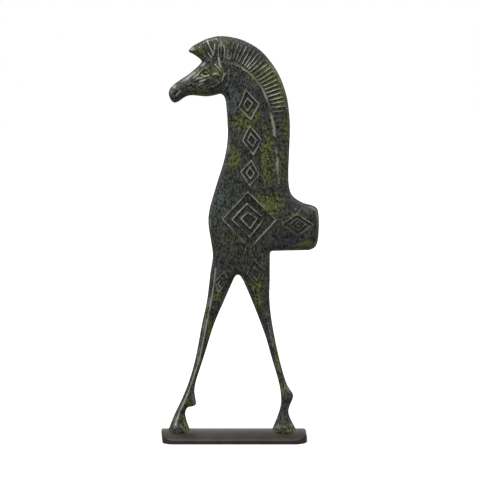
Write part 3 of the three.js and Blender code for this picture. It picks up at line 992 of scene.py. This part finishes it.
@dataclass(frozen=True)
class FigureBronze:
    """Dark cast bronze under a mottled patina, painted lighter on the raised lines, along the rim and on a
    few high spots, as rubbed metal and as painted highlight, and darker in the sunk fields as patina and
    painted shade.
    """

    ground: Colour = (0.074, 0.080, 0.062)
    moss: Colour = (0.105, 0.125, 0.032)
    lichen: Colour = (0.190, 0.225, 0.050)
    violet: Colour = (0.060, 0.054, 0.070)
    teal: Colour = (0.095, 0.115, 0.115)
    brown: Colour = (0.150, 0.095, 0.075)
    fleck: Colour = (0.30, 0.33, 0.22)
    # Rubbed metal's colour, also used for the painted highlights.
    worn_highlight: Colour = (0.42, 0.44, 0.36)
    # Near black: the pits' colour, also used for the painted shade in the sunk fields.
    pit_and_shade: Colour = (0.006, 0.007, 0.006)

    def material(self) -> bpy.types.Material:
        """Builds the finish.

        Returns:
            The material, which reads the tones and the carving from vertex attributes.
        """
        shader = Shader("figure_bronze", Specular_IOR_Level=0.4)
        place = shader.place()
        cloud = shader.noise(place, 14, 4, 0.6)
        mottle = shader.noise(place, 3.6, 8, 0.78)
        speck = shader.noise(shader.stretched(place, (1.0, 1.0, 0.6)), 1.2, 4, 0.7)
        grain = shader.noise(place, 0.7, 2, 0.6)
        uneven = (mottle - 0.5) * 1.6 + (cloud - 0.5) * 1.4

        def tone(which: Tone, base: float) -> Value:
            """A tone's mask: its spots, broken up by the mottling."""
            return (shader.attribute(which.value) + base + uneven * 0.55).step(0.15, 0.75)

        colour = shader.blend(tone(Tone.VIOLET, 0.10), self.ground, self.violet)
        colour = shader.blend(tone(Tone.TEAL, 0.0), colour, self.teal)
        colour = shader.blend(tone(Tone.BROWN, -0.10), colour, self.brown)
        olive = shader.blend((speck - 0.5 + mottle * 0.5).step(0.1, 0.5), self.moss, self.lichen)
        colour = shader.blend(tone(Tone.MOSS, 0.10), colour, olive)
        pits = ((mottle - 0.5) * 0.9 + (speck - 0.5) * 1.3).step(-0.17, 0.13)
        colour = shader.blend(pits, self.pit_and_shade, colour)
        flecks = ((speck - 0.5) + (grain - 0.5) * 0.7).step(0.10, 0.26)
        colour = shader.blend(flecks * 0.6, colour, self.fleck)
        # Painted shade: the sunk fields and pockets are darkened towards near black, partly as patina
        # gathered there.
        recess = shader.attribute("recess")
        colour = shader.blend((recess * 0.4 + uneven * 0.3).clamped(), colour, self.pit_and_shade)
        # Painted highlight with rubbing: crests, the rim band and the rubbed spots are blended towards the
        # light metal colour and made more metallic.
        wear = shader.attribute("wear") * (0.35 + 1.5 * cloud.step(0.3, 0.75))
        wear = wear + shader.attribute(Tone.RUBBED.value)
        wear = (wear + (speck - 0.5) * 0.9 + (grain - 0.5) * 0.5).step(0.30, 1.05)
        colour = shader.blend(wear, colour, self.worn_highlight)
        shader.set("Base Color", colour)
        shader.set("Metallic", (0.10 + 0.4 * wear).clamped())
        shader.set("Roughness", (0.50 - 0.12 * wear + (speck - 0.5) * 0.4).clamped())
        shader.bump(mottle * 0.6 + speck * 0.6 + grain * 0.25, 0.25, 0.8)
        return shader.material


@dataclass(frozen=True)
class PlinthBronze:
    """Smooth brown bronze, softly glossy, with a little green by the hooves."""

    brown: Colour = (0.060, 0.050, 0.043)
    dark: Colour = (0.036, 0.031, 0.028)
    moss: Colour = (0.045, 0.055, 0.016)

    def material(self) -> bpy.types.Material:
        """Builds the finish.

        Returns:
            The material, which reads the moss by the hooves from a vertex attribute.
        """
        shader = Shader("plinth_bronze", Specular_IOR_Level=0.5)
        place = shader.place()
        cloud = shader.noise(place, 16, 4)
        grain = shader.noise(shader.stretched(place, (0.25, 1.0, 1.0)), 0.8, 3)
        colour = shader.blend(cloud.step(0.35, 0.7), self.brown, self.dark)
        moss = shader.attribute(Tone.MOSS.value) + (shader.noise(place, 2.5, 4) - 0.5) * 0.9
        colour = shader.blend(moss.step(0.35, 0.9), colour, self.moss)
        shader.set("Base Color", colour)
        shader.set("Metallic", 0.3)
        shader.set("Roughness", (0.33 + (cloud - 0.5) * 0.14 + (grain - 0.5) * 0.06).clamped())
        shader.bump(grain, 0.03, 0.4)
        return shader.material


def make_piece(
    name: str, places: Array, triangles: Array, attributes: Mapping[str, Array],
    material: bpy.types.Material,
) -> bpy.types.Object:
    """Puts arrays into a smooth-shaded mesh object at the origin.

    Args:
        name: The piece's name.
        places: Vertex places in millimetres, as rows.
        triangles: Vertex numbers of each triangle, as rows.
        attributes: One number for each vertex, by attribute name.
        material: The finish.

    Returns:
        The object.
    """
    mesh = bpy.data.meshes.new(name)
    mesh.from_pydata((places * MM).tolist(), [], triangles.tolist())
    for key, values in attributes.items():
        layer = mesh.attributes.new(key, "FLOAT", "POINT")
        layer.data.foreach_set("value", np.asarray(values, np.float32))
    mesh.polygons.foreach_set("use_smooth", np.ones(len(triangles), bool))
    mesh.materials.append(material)
    mesh.validate()
    mesh.update()
    piece = bpy.data.objects.new(name, mesh)
    bpy.context.scene.collection.objects.link(piece)
    return piece


@dataclass(frozen=True)
class Plinth:
    """A low bar with rounded corners, a wall all round and an arched top."""

    length: float = 108.6
    depth: float = 30.0
    wall: float = 3.2
    crown: float = 5.0
    corner: float = 9.5
    shoulder: float = 4.5
    lean: float = 1.3
    edge: float = 0.35
    step: float = 0.8
    joint_step: float = 1.0

    @property
    def top(self) -> float:
        """The height of the arch's middle."""
        return self.wall + self.crown

    def arch(self, y: Array) -> Array:
        """The arched top's height: a circle's arc through both walls' tops and the crown.

        Args:
            y: Places across the plinth.

        Returns:
            The height at each place.
        """
        half = self.depth / 2
        radius = (half**2 + self.crown**2) / (2 * self.crown)
        return self.top - radius + np.sqrt(radius**2 - np.clip(y, -half, half) ** 2)

    def surface(self, x: Array, y: Array) -> Array:
        """The top's height: the arch, cut by the round shoulder at the right end.

        Args:
            x: Places along the plinth.
            y: Places across it.

        Returns:
            The height at each place.
        """
        reach = np.clip(x - (self.length / 2 - self.shoulder), 0, self.shoulder)
        drop = self.shoulder - np.sqrt(self.shoulder**2 - reach**2)
        arch, end = self.arch(y), self.top - drop
        soft = 0.5
        blend = np.clip(0.5 + (end - arch) / (2 * soft), 0, 1)
        return end * (1 - blend) + arch * blend - soft * blend * (1 - blend)

    def plan(self) -> Array:
        """The plinth seen from above: a rounded bar whose back left corner is square.

        Returns:
            The loop's points, anticlockwise from the back left corner.
        """
        right, back, r = self.length / 2, self.depth / 2, self.corner
        turns = [
            arc((-right + r, -back + r), (r, r), 0, 180, 270),
            arc((right - r, -back + r), (r, r), 0, 270, 360),
            arc((right - r, back - r), (r, r), 0, 0, 90),
        ]
        corners = np.vstack([[(-right, back)], *turns, [(-right, back)]])
        along = np.append(0, np.cumsum(np.linalg.norm(np.diff(corners, axis=0), axis=1)))
        even = np.linspace(0, along[-1], round(along[-1] / self.step), endpoint=False)
        places = np.union1d(even, along[:-1])
        places = places[np.append(True, np.diff(places) > 0.05)]
        return np.stack([np.interp(places, along, corners[:, k]) for k in (0, 1)], axis=1)

    def mesh_rows(self) -> Array:
        """The plinth's surface as rows of points round its plan.

        The first parameter runs round the plan and the second from the underside's middle
        line, out to the wall, up it, over a small round edge and in along the top to the
        middle line. A point between the wall and the middle line is a straight share of the way.
        The middle line's points lie at even places, so the front and the back half share them.

        Returns:
            An array of row, point and coordinate.
        """
        plan = self.plan()
        ridge = self.length / 2 - self.depth / 2
        joint = np.round(plan[:, 0] / self.joint_step) * self.joint_step
        spine = np.stack([np.clip(joint, -ridge, ridge), np.zeros(len(plan))], axis=1)
        inward = spine - plan
        width = np.linalg.norm(inward, axis=1, keepdims=True)
        inward /= width

        def lift(inset: Array | float, height: Array | float) -> Array:
            """A row at a distance inside the plan, at a height.

            Args:
                inset: The distance.
                height: The height.

            Returns:
                The row's points.
            """
            flat = plan + inset * inward
            lifted = np.broadcast_to(height, (len(plan),))
            left = -self.length / 2 + self.lean * (1 - lifted / self.top)
            return np.stack([np.maximum(flat[:, 0], left), flat[:, 1], lifted], axis=1)

        rim = self.surface(*plan.T)
        shoulder = self.surface(*(plan + self.edge * inward).T)
        rows = [lift(width * share, 0.0) for share in np.linspace(1, 0.02, 12)]
        rows += [lift(self.edge * 0.5, 0.0), lift(self.edge * 0.15, self.edge * 0.15)]
        rows += [lift(0.0, self.edge * 0.5 + (rim - 1.5 * self.edge) * k / 4) for k in range(5)]
        for t in np.linspace(0.2, 0.8, 4):
            height = (1 - t) ** 2 * (rim - self.edge) + 2 * t * (1 - t) * rim + t**2 * shoulder
            rows.append(lift(self.edge * t**2, height))
        for share in np.linspace(0, 1, 26):
            inset = self.edge + (width - self.edge) * share
            rows.append(lift(inset, self.surface(*(plan + inset * inward).T)))
        return np.array(rows)

    def build(self, hooves: Sequence[Point]) -> bpy.types.Object:
        """Makes the plinth's piece.

        Args:
            hooves: The middle of each hoof, for the green about it.

        Returns:
            The piece, riding on the object's one body.
        """
        rows = self.mesh_rows()
        count, around = rows.shape[:2]
        number = np.arange(count * around).reshape(count, around)
        a, b = number[:-1], number[1:]
        c, d = np.roll(b, -1, axis=1), np.roll(a, -1, axis=1)
        low = np.stack([a, d, c], axis=2).reshape(-1, 3)
        high = np.stack([a, c, b], axis=2).reshape(-1, 3)
        places = rows.reshape(-1, 3)
        moss = np.zeros(len(places))
        for x, half in hooves:
            off = np.hypot((places[:, 0] - x) / (half + 2.0), places[:, 1] / 9.5)
            moss = np.maximum(moss, eased_step(1.35, 0.9, off))
        finish = PlinthBronze().material()
        piece = make_piece("plinth_bronze", places, np.vstack([low, high]), {"moss": moss}, finish)
        weld(piece)
        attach(piece, "root")
        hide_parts("plinth")
        return piece


def weld(piece: bpy.types.Object) -> None:
    """Merges points that lie on each other and drops the faces that this leaves empty.

    Args:
        piece: The piece whose mesh is closed.
    """
    work = bmesh.new()
    work.from_mesh(piece.data)
    bmesh.ops.remove_doubles(work, verts=work.verts, dist=0.002 * MM)
    bmesh.ops.dissolve_degenerate(work, dist=0.001 * MM, edges=work.edges)
    bmesh.ops.recalc_face_normals(work, faces=work.faces)
    work.to_mesh(piece.data)
    work.free()
    piece.data.update()


@dataclass(frozen=True)
class Figure:
    """The half-horse: a flat casting whose two faces meet at its outline."""

    outline: Outline = Outline()
    lozenges: Lozenges = Lozenges()
    mane: Mane = Mane()
    head: Head = Head()
    legs: Legs = Legs()
    plinth: Plinth = Plinth()
    trunk: Line = (
        (5, 8.2), (10, 7.6), (15, 5.8), (21, 4.4), (32, 4.8), (45, 3.8), (75, 4.3),
        (105, 6.0), (125, 7.6), (165, 8.8), (205, 8.4), (240, 7.8), (272, 7.4), (288, 5.4),
        (300, 4.0),
    )
    face: Line = ((-47, 6.2), (-42, 6.0), (-35, 5.8), (-26, 6.6), (-15, 7.6))
    face_heights: Point = (250.0, 283.0)
    rim_width: float = 6.0
    crown_height: float = 0.9
    crown_reach: float = 9.0
    edge_step: float = 0.6
    rim_turn: float = 8.0
    rim_rows: int = 6
    fine: float = 0.46
    coarse: float = 0.85
    foot: float = 6.0
    # A painted highlight in a band just inside the outline, where the rounded rim would catch the light.
    rim_highlight: float = 0.42
    rim_highlight_at: float = 1.5
    rim_highlight_reach: float = 1.0
    hooves: tuple[Point, ...] = ((-41.0, 7.6), (37.3, 8.6))

    def plain(self, points: Array, depth: Array) -> Array:
        """The half thickness without carving.

        It is the full half thickness times the root of 1 - (1 - d / rim)^2, which is a round
        rim, plus a low crown that nears its height by 1 - exp(-(d - rim) / reach), where d is
        the distance to the outline.

        Args:
            points: The points, as rows.
            depth: How far each lies inside the outline.

        Returns:
            One half thickness for each point.
        """
        full = eased_chain(self.trunk, points[:, 1])
        low, high = self.face_heights
        headed = (points[:, 0] < self.face[-1][0]) & (points[:, 1] > low) & (points[:, 1] < high)
        full = np.where(headed, np.minimum(full, eased_chain(self.face, points[:, 0])), full)
        slope = 1 - np.minimum(depth / self.rim_width, 1)
        crown = 1 - np.exp(-np.maximum(depth - self.rim_width, 0) / self.crown_reach)
        return full * np.sqrt(1 - slope**2) + self.crown_height * crown

    def carved(self, points: Array, depth: Array, side: Side) -> Relief:
        """The carving of one side, with a slight wander from hand work.

        Args:
            points: The points, as rows.
            depth: How far each lies inside the outline.
            side: The side being carved.

        Returns:
            The relief.
        """
        wander = Noise(11 + side.value)
        sway = np.stack([wander(points, 9.0), wander(points + 31.7, 9.0)], axis=1)
        relief = Relief(points + 0.22 * sway)
        self.lozenges.carve(relief, side)
        self.mane.carve(relief, self.outline)
        self.head.carve(relief)
        self.legs.carve(relief)
        lumps = Noise(23 + side.value)
        relief.raised *= 0.88 + 0.12 * lumps(points, 4.0)
        chiselled = eased_step(251.0, 256.0, points[:, 1]) * eased_step(-1.0, -6.0, points[:, 0])
        relief.form += 0.10 * lumps(points, 11.0) + 0.05 * lumps(points + 50, 4.0)
        relief.form += 0.16 * chiselled * lumps(points + 90, 2.3)
        # Painted highlight along the rim: a lighter band a little inside the outline.
        band = np.exp(-(((depth - self.rim_highlight_at) / self.rim_highlight_reach) ** 2))
        relief.wear = np.maximum(relief.wear, self.rim_highlight * band)
        return relief

    def seat(self, loop: Array) -> tuple[Array, Array]:
        """Ends the hooves on a level line just under the plinth's top.

        Args:
            loop: The outline, whose hooves run on further down.

        Returns:
            The shorter loop, and which of its points lie inside one of the level lines.
        """
        above = loop[:, 1] > self.foot
        start = int(np.flatnonzero(above & ~np.roll(above, 1))[0])
        loop, above = np.roll(loop, -start, axis=0), np.roll(above, -start)
        ends = np.flatnonzero(above & ~np.roll(above, -1))
        starts = np.flatnonzero(above & ~np.roll(above, 1))
        runs, flags = [], []
        for k, last in enumerate(ends):
            run = loop[starts[k] : last + 1]
            following = starts[(k + 1) % len(starts)]
            leave = self.crossing(loop[last], loop[(last + 1) % len(loop)])
            enter = self.crossing(loop[following - 1], loop[following])
            count = round(math.dist(leave, enter) / self.edge_step)
            level = np.linspace(leave, enter, count + 1)
            runs += [run, level]
            flags += [np.zeros(len(run) + 1, bool), np.ones(len(level) - 2, bool), [False]]
        return np.vstack(runs), np.concatenate(flags)

    def crossing(self, first: Array, second: Array) -> Array:
        """Where the piece between two points crosses the level of the foot."""
        share = (self.foot - first[1]) / (second[1] - first[1])
        return first + share * (second - first)

    def sheet_points(self, loop: Array, seated: Array, side: Side) -> Array:
        """Points over one side: rows along the rim, then a lattice, finer where it is carved.

        Row k lies inside the outline by rim * (1 - cos(k * turn)), so that the rows are even
        round the rounded rim.

        Args:
            loop: The outline.
            seated: The outline as it ends on the plinth.
            side: The side.

        Returns:
            The seated outline's points and then the inner ones, as rows.
        """
        tangent = np.roll(loop, -1, axis=0) - np.roll(loop, 1, axis=0)
        inward = np.stack([-tangent[:, 1], tangent[:, 0]], axis=1)
        inward /= np.linalg.norm(inward, axis=1, keepdims=True)
        groups = [seated]
        for row in range(1, self.rim_rows + 1):
            depth = self.rim_width * (1 - math.cos(math.radians(row * self.rim_turn)))
            ring = loop + depth * inward
            cells = np.round(ring / (0.5 * self.edge_step)).astype(int)
            ring = ring[np.sort(np.unique(cells, axis=0, return_index=True)[1])]
            ring = ring[ring[:, 1] > self.foot + 0.3]
            ring = ring[inside(ring, loop)]
            groups.append(ring[distance(ring, loop, True) > 0.93 * depth])
        for step in (self.fine, self.coarse):
            points = self.lattice(seated, step)
            points = points[distance(points, seated, True) > depth + 0.3 * step]
            busy = self.busy(points, side)
            groups.append(points[busy if step == self.fine else ~busy])
        return np.vstack(groups)

    def lattice(self, loop: Array, step: float) -> Array:
        """A lattice of even triangles inside a loop.

        Args:
            loop: The loop.
            step: The lattice's spacing.

        Returns:
            The points inside, as rows.
        """
        low, high = loop.min(axis=0), loop.max(axis=0)
        z = np.arange(low[1], high[1], step * math.sqrt(3) / 2)
        x = np.arange(low[0], high[0], step)
        grid = np.stack(np.meshgrid(x, z), axis=2)
        grid[1::2, :, 0] += step / 2
        grid = grid.reshape(-1, 2)
        return grid[inside(grid, loop)]

    def busy(self, points: Array, side: Side) -> Array:
        """Whether each point needs the finer lattice.

        Args:
            points: The points, as rows.
            side: The side.

        Returns:
            One truth value for each point.
        """
        head = (points[:, 0] < -2.0) & (points[:, 1] > 250.0)
        found = head | self.mane.near(points, self.outline, 2.0)
        return found | self.lozenges.near(points, side, 1.6) | self.legs.near(points, 1.6)

    def side_sheet(self, loop: Array, seated: Array, side: Side) -> tuple[Array, Array, Relief]:
        """One side's points with their depth, their triangles and their relief.

        Args:
            loop: The outline.
            seated: The outline as it ends on the plinth.
            side: The side.

        Returns:
            Places as rows, triangles that face outwards, and the relief.
        """
        points = self.sheet_points(loop, seated, side)
        number = np.arange(len(seated))
        edges = np.stack([number, np.roll(number, -1)], axis=1)
        joined = delaunay_2d_cdt(points.tolist(), edges.tolist(), [], 1, 1e-6)
        triangles = np.array(joined[2])
        if side is Side.BACK:
            triangles = triangles[:, ::-1]
        depth = distance(points, loop, closed=True)
        relief = self.carved(points, depth, side)
        plain = self.plain(points, depth)
        half = plain + relief.height() * eased_step(0.0, 2.0, plain)
        half[: len(seated)] = np.where(seated[:, 1] > self.foot, 0, half[: len(seated)])
        places = np.stack([points[:, 0], side.value * half, points[:, 1]], axis=1)
        return places, triangles, relief

    def flare(self, places: Array) -> Array:
        """Spreads the hooves a little where they meet the plinth, as a cast joint does.

        A point moves away from its hoof's middle by a tenth of its distance at the plinth's
        surface, and by exp(-height / 0.9) of that above it.

        Args:
            places: The places, as rows.

        Returns:
            The moved places.
        """
        moved = places.copy()
        height = places[:, 2] - self.plinth.surface(places[:, 0], places[:, 1])
        share = 0.10 * np.exp(-np.maximum(height, 0) / 0.9)
        for middle, _ in self.hooves:
            near = np.abs(places[:, 0] - middle) < 15
            moved[:, 0] += np.where(near, share * (places[:, 0] - middle), 0)
            moved[:, 1] += np.where(near, share * places[:, 1], 0)
        return moved

    def build(self) -> bpy.types.Object:
        """Makes the figure's piece: two sheets that share the outline, capped under the hooves.

        Returns:
            The piece, riding on the object's one body.
        """
        loop = self.outline.loop(self.edge_step)
        seated, level = self.seat(loop)
        front, front_faces, front_relief = self.side_sheet(loop, seated, Side.SHOWN)
        back, back_faces, back_relief = self.side_sheet(loop, seated, Side.BACK)
        shared = np.zeros(len(back), bool)
        shared[: len(seated)] = ~level
        number = np.where(shared, np.arange(len(back)), len(front) + np.cumsum(~shared) - 1)
        places = self.flare(np.vstack([front, back[~shared]]))
        caps = self.caps(len(seated), level, number)
        triangles = np.vstack([front_faces, number[back_faces], caps])

        def both(shown: Array, hidden: Array) -> Array:
            """One array over the figure's points from one on each sheet."""
            return np.concatenate([shown, hidden[~shared]])

        attributes = {
            "wear": both(front_relief.wear, back_relief.wear),
            "recess": both(front_relief.recess(), back_relief.recess()),
        }
        for tone in Tone:
            attributes[tone.value] = both(
                tone_weight(tone, SHOWN_SPOTS, front[:, ::2]),
                tone_weight(tone, BACK_SPOTS, back[:, ::2]),
            )
        piece = make_piece(
            "half_horse", places, triangles, attributes, FigureBronze().material()
        )
        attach(piece, "root")
        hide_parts("figure")
        return piece

    def caps(self, count: int, level: Array, number: Array) -> Array:
        """Triangles that close the casting under the hooves, between the two sheets.

        Args:
            count: How many points the seated outline has.
            level: Which of them lie inside a level line.
            number: The number of each of the back sheet's points.

        Returns:
            The triangles, as rows.
        """
        here = np.arange(count)
        following = np.roll(here, -1)
        first = np.flatnonzero(level | level[following])
        a, b = here[first], following[first]
        low = np.stack([b, a, number[a]], axis=1)
        high = np.stack([b, number[a], number[b]], axis=1)
        faces = np.vstack([low, high])
        distinct = (faces[:, 0] != faces[:, 1]) & (faces[:, 1] != faces[:, 2])
        return faces[distinct & (faces[:, 2] != faces[:, 0])]


def tone_weight(tone: Tone, spots: Sequence[Spot], points: Array) -> Array:
    """The strength of one tone over points: the strongest of its spots.

    Args:
        tone: The tone.
        spots: All the spots of a side.
        points: The points, as rows.

    Returns:
        One weight for each point.
    """
    total = np.zeros(len(points))
    for spot in spots:
        if spot.tone is tone:
            total = np.maximum(total, spot.weight(points))
    return total


SHOWN_SPOTS = (
    Spot(Tone.MOSS, (28, 272), (8, 13), 0.9, 30), Spot(Tone.MOSS, (33.5, 258), (5, 14), 0.7),
    Spot(Tone.MOSS, (38, 234), (3, 12), 0.9), Spot(Tone.MOSS, (35, 205), (5, 14), 0.45),
    Spot(Tone.MOSS, (-25.5, 289), (5, 4), 0.8), Spot(Tone.MOSS, (-6.5, 295), (4, 3.5), 0.7),
    Spot(Tone.MOSS, (-20.5, 273), (5.5, 4.5), 0.95), Spot(Tone.MOSS, (-11, 275.5), (4, 5), 0.8),
    Spot(Tone.MOSS, (-25, 260.5), (9, 3.5), 0.6), Spot(Tone.MOSS, (15, 270), (7, 4), 0.7, -40),
    Spot(Tone.MOSS, (5, 239), (11, 7), 0.8), Spot(Tone.MOSS, (14, 243), (5, 5), 0.6),
    Spot(Tone.MOSS, (24, 212), (5, 20), 0.9), Spot(Tone.MOSS, (26, 179), (11, 9), 1.0, -45),
    Spot(Tone.MOSS, (-0.6, 211), (5, 8), 0.8), Spot(Tone.MOSS, (44, 170.5), (5, 2.5), 0.7, 25),
    Spot(Tone.MOSS, (53, 147), (9, 4), 0.7), Spot(Tone.MOSS, (2, 154), (9, 4), 0.5, -45),
    Spot(Tone.MOSS, (-20.5, 95), (3, 28), 0.8, 10), Spot(Tone.MOSS, (-12, 111), (4, 5), 0.7),
    Spot(Tone.MOSS, (17, 118), (6, 8), 0.75), Spot(Tone.MOSS, (16.5, 105), (4, 6), 0.95),
    Spot(Tone.MOSS, (33, 62), (4, 9), 0.7), Spot(Tone.MOSS, (37.5, 41), (4, 6), 0.6),
    Spot(Tone.MOSS, (-34, 28), (5, 4), 0.7), Spot(Tone.MOSS, (-35.5, 14), (3, 8), 0.75),
    Spot(Tone.MOSS, (40, 10), (5, 4), 0.6),
    Spot(Tone.VIOLET, (-17, 289), (5, 5), 0.9), Spot(Tone.VIOLET, (11, 287), (7, 5), 0.8),
    Spot(Tone.VIOLET, (17, 253), (7, 11), 0.9), Spot(Tone.VIOLET, (15, 217), (10, 12), 1.0),
    Spot(Tone.VIOLET, (46, 178), (9, 5), 0.8), Spot(Tone.VIOLET, (40, 152), (11, 6), 0.9),
    Spot(Tone.VIOLET, (-8, 133), (8, 6), 0.9), Spot(Tone.VIOLET, (26, 86), (4, 14), 0.7),
    Spot(Tone.VIOLET, (-6, 265), (3, 8), 0.8), Spot(Tone.VIOLET, (37, 24), (5, 9), 0.8),
    Spot(Tone.VIOLET, (12, 166), (14, 14), 0.5),
    Spot(Tone.TEAL, (-0.5, 250), (5, 20), 0.95), Spot(Tone.TEAL, (-18, 263), (7, 4), 0.6),
    Spot(Tone.TEAL, (-9, 178), (6, 22), 0.85), Spot(Tone.TEAL, (-33, 269), (9, 3), 0.9, 38),
    Spot(Tone.TEAL, (-9, 148), (6, 8), 0.5), Spot(Tone.TEAL, (7, 268), (4, 5), 0.7),
    Spot(Tone.BROWN, (-24, 257), (12, 1.6), 1.0), Spot(Tone.BROWN, (-42, 254), (5, 4), 0.6),
    Spot(Tone.BROWN, (-12, 128), (4, 3), 0.6),
    # Painted highlights on the forehead, forelock tip, nose bridge, muzzle and hoof fronts, where the
    # metal is also polished.
    Spot(Tone.RUBBED, (-21.7, 279.6), (3.0, 1.3), 1.0, 38),
    Spot(Tone.RUBBED, (-30.4, 290.6), (2.0, 1.8), 0.9),
    Spot(Tone.RUBBED, (-31, 271.6), (8.5, 1.5), 0.6, 38),
    Spot(Tone.RUBBED, (-43.4, 263.4), (1.8, 1.5), 0.7), Spot(Tone.RUBBED, (-45.2, 259.4), (1.4, 1.5), 0.7),
    Spot(Tone.RUBBED, (-26.5, 271.0), (3.0, 2.0), 0.6, 38),
    Spot(Tone.RUBBED, (-43.5, 13), (1.6, 4.5), 0.7, -14), Spot(Tone.RUBBED, (33.5, 11), (1.8, 3), 0.5),
)
BACK_SPOTS = (
    Spot(Tone.MOSS, (30, 262), (8, 20), 0.7, 20), Spot(Tone.MOSS, (8, 225), (12, 16), 0.6),
    Spot(Tone.MOSS, (-22, 270), (10, 7), 0.6), Spot(Tone.MOSS, (22, 182), (12, 9), 0.7, -45),
    Spot(Tone.MOSS, (50, 150), (9, 6), 0.6), Spot(Tone.MOSS, (-17, 108), (5, 24), 0.6, 10),
    Spot(Tone.MOSS, (20, 108), (6, 18), 0.6), Spot(Tone.VIOLET, (12, 252), (10, 12), 0.7),
    Spot(Tone.VIOLET, (4, 195), (12, 12), 0.6), Spot(Tone.VIOLET, (40, 168), (12, 9), 0.6),
    Spot(Tone.VIOLET, (0, 138), (12, 8), 0.7), Spot(Tone.TEAL, (-6, 165), (9, 22), 0.6),
    Spot(Tone.TEAL, (0, 245), (6, 16), 0.6), Spot(Tone.BROWN, (-24, 257), (12, 1.6), 0.9),
    # Painted highlight on the brow, as on the shown side.
    Spot(Tone.RUBBED, (-21.7, 279.6), (3.0, 1.3), 0.8, 38),
)


@dataclass(frozen=True)
class Studio:
    """The camera, a pale floor and soft light."""

    eye: tuple[float, float, float] = (4.41, -1300.0, 310.0)
    pitch: float = 6.992
    roll: float = 0.0
    lens_pixels: float = 1776.24
    frame_pixels: float = 480.0
    sensor: float = 36.0
    floor_reach: float = 4000.0
    floor_glow: float = 0.5
    below: float = 0.26
    front: float = 0.30
    behind: float = 0.75
    key_from: tuple[float, float, float] = (-0.16, -0.50, 0.84)
    key_strength: float = 2.2
    key_spread: float = 50.0

    def camera(self) -> bpy.types.Object:
        """Makes the camera at the photograph's viewing angle.

        Returns:
            The scene's camera.
        """
        data = bpy.data.cameras.new("camera")
        data.sensor_width = self.sensor
        data.lens = self.sensor * self.lens_pixels / self.frame_pixels
        camera = bpy.data.objects.new("camera", data)
        tilt = Matrix.Rotation(math.radians(90 - self.pitch), 4, "X")
        roll = Matrix.Rotation(math.radians(self.roll), 4, "Z")
        camera.matrix_world = Matrix.Translation([v * MM for v in self.eye]) @ tilt @ roll
        bpy.context.scene.collection.objects.link(camera)
        bpy.context.scene.camera = camera
        return camera

    def floor(self) -> bpy.types.Object:
        """Makes a plain pale floor under the plinth, which lights nothing itself."""
        white = (0.85, 0.85, 0.85)
        shader = Shader("floor_white", Base_Color=white, Roughness=0.9)
        shader.set("Emission Color", white)
        shader.set("Emission Strength", self.floor_glow)
        half = self.floor_reach
        places = np.array([(-half, -half, 0), (half, -half, 0), (half, half, 0), (-half, half, 0)])
        triangles = np.array([(0, 1, 2), (0, 2, 3)])
        floor = make_piece("floor", places, triangles, {}, shader.material)
        floor.visible_glossy = False
        floor.visible_diffuse = False
        return floor

    def surround(self) -> None:
        """Makes the surround: white to the camera, and a soft dome as a light.

        The dome's light is low from below. Above, it grows by a smooth step from the front to
        the back.
        """
        world = bpy.data.worlds.new("studio")
        world.use_nodes = True
        nodes = Nodes(world.node_tree)
        facing = nodes.node("ShaderNodeTexCoord", output="Generated")
        depth = nodes.node("ShaderNodeSeparateXYZ", inputs={0: facing}, output="Y")
        height = nodes.node("ShaderNodeSeparateXYZ", inputs={0: facing}, output="Z")
        above = self.front + (self.behind - self.front) * depth.step(-0.6, 0.7)
        dome = self.below + (above - self.below) * height.step(-0.08, 0.3)
        seen = nodes.node("ShaderNodeLightPath", output="Is Camera Ray")
        background = world.node_tree.nodes["Background"]
        nodes.plug(background.inputs["Color"], (1.0, 1.0, 1.0))
        nodes.plug(background.inputs["Strength"], dome * (1 - seen) + seen)
        bpy.context.scene.world = world
        bpy.context.scene.view_settings.view_transform = "Standard"

    def key(self) -> bpy.types.Object:
        """Makes the key light, wide and soft, from above on the head's side.

        Returns:
            The light.
        """
        data = bpy.data.lights.new("key", "SUN")
        data.energy = self.key_strength
        data.angle = math.radians(self.key_spread)
        lamp = bpy.data.objects.new("key", data)
        lamp.matrix_world = Vector(self.key_from).to_track_quat("Z", "Y").to_matrix().to_4x4()
        bpy.context.scene.collection.objects.link(lamp)
        return lamp


def main() -> None:
    """Builds the camera, the pieces and the studio in order, and reports each piece."""
    logging.basicConfig(level=logging.INFO, format="%(name)s: %(message)s")
    studio = Studio()
    studio.camera()
    figure = Figure()
    for piece in (figure.build(), figure.plinth.build(figure.hooves)):
        LOG.info("%s: %d faces", piece.name, len(piece.data.polygons))
    studio.floor()
    studio.surround()
    studio.key()


if __name__ == "__main__":
    main()
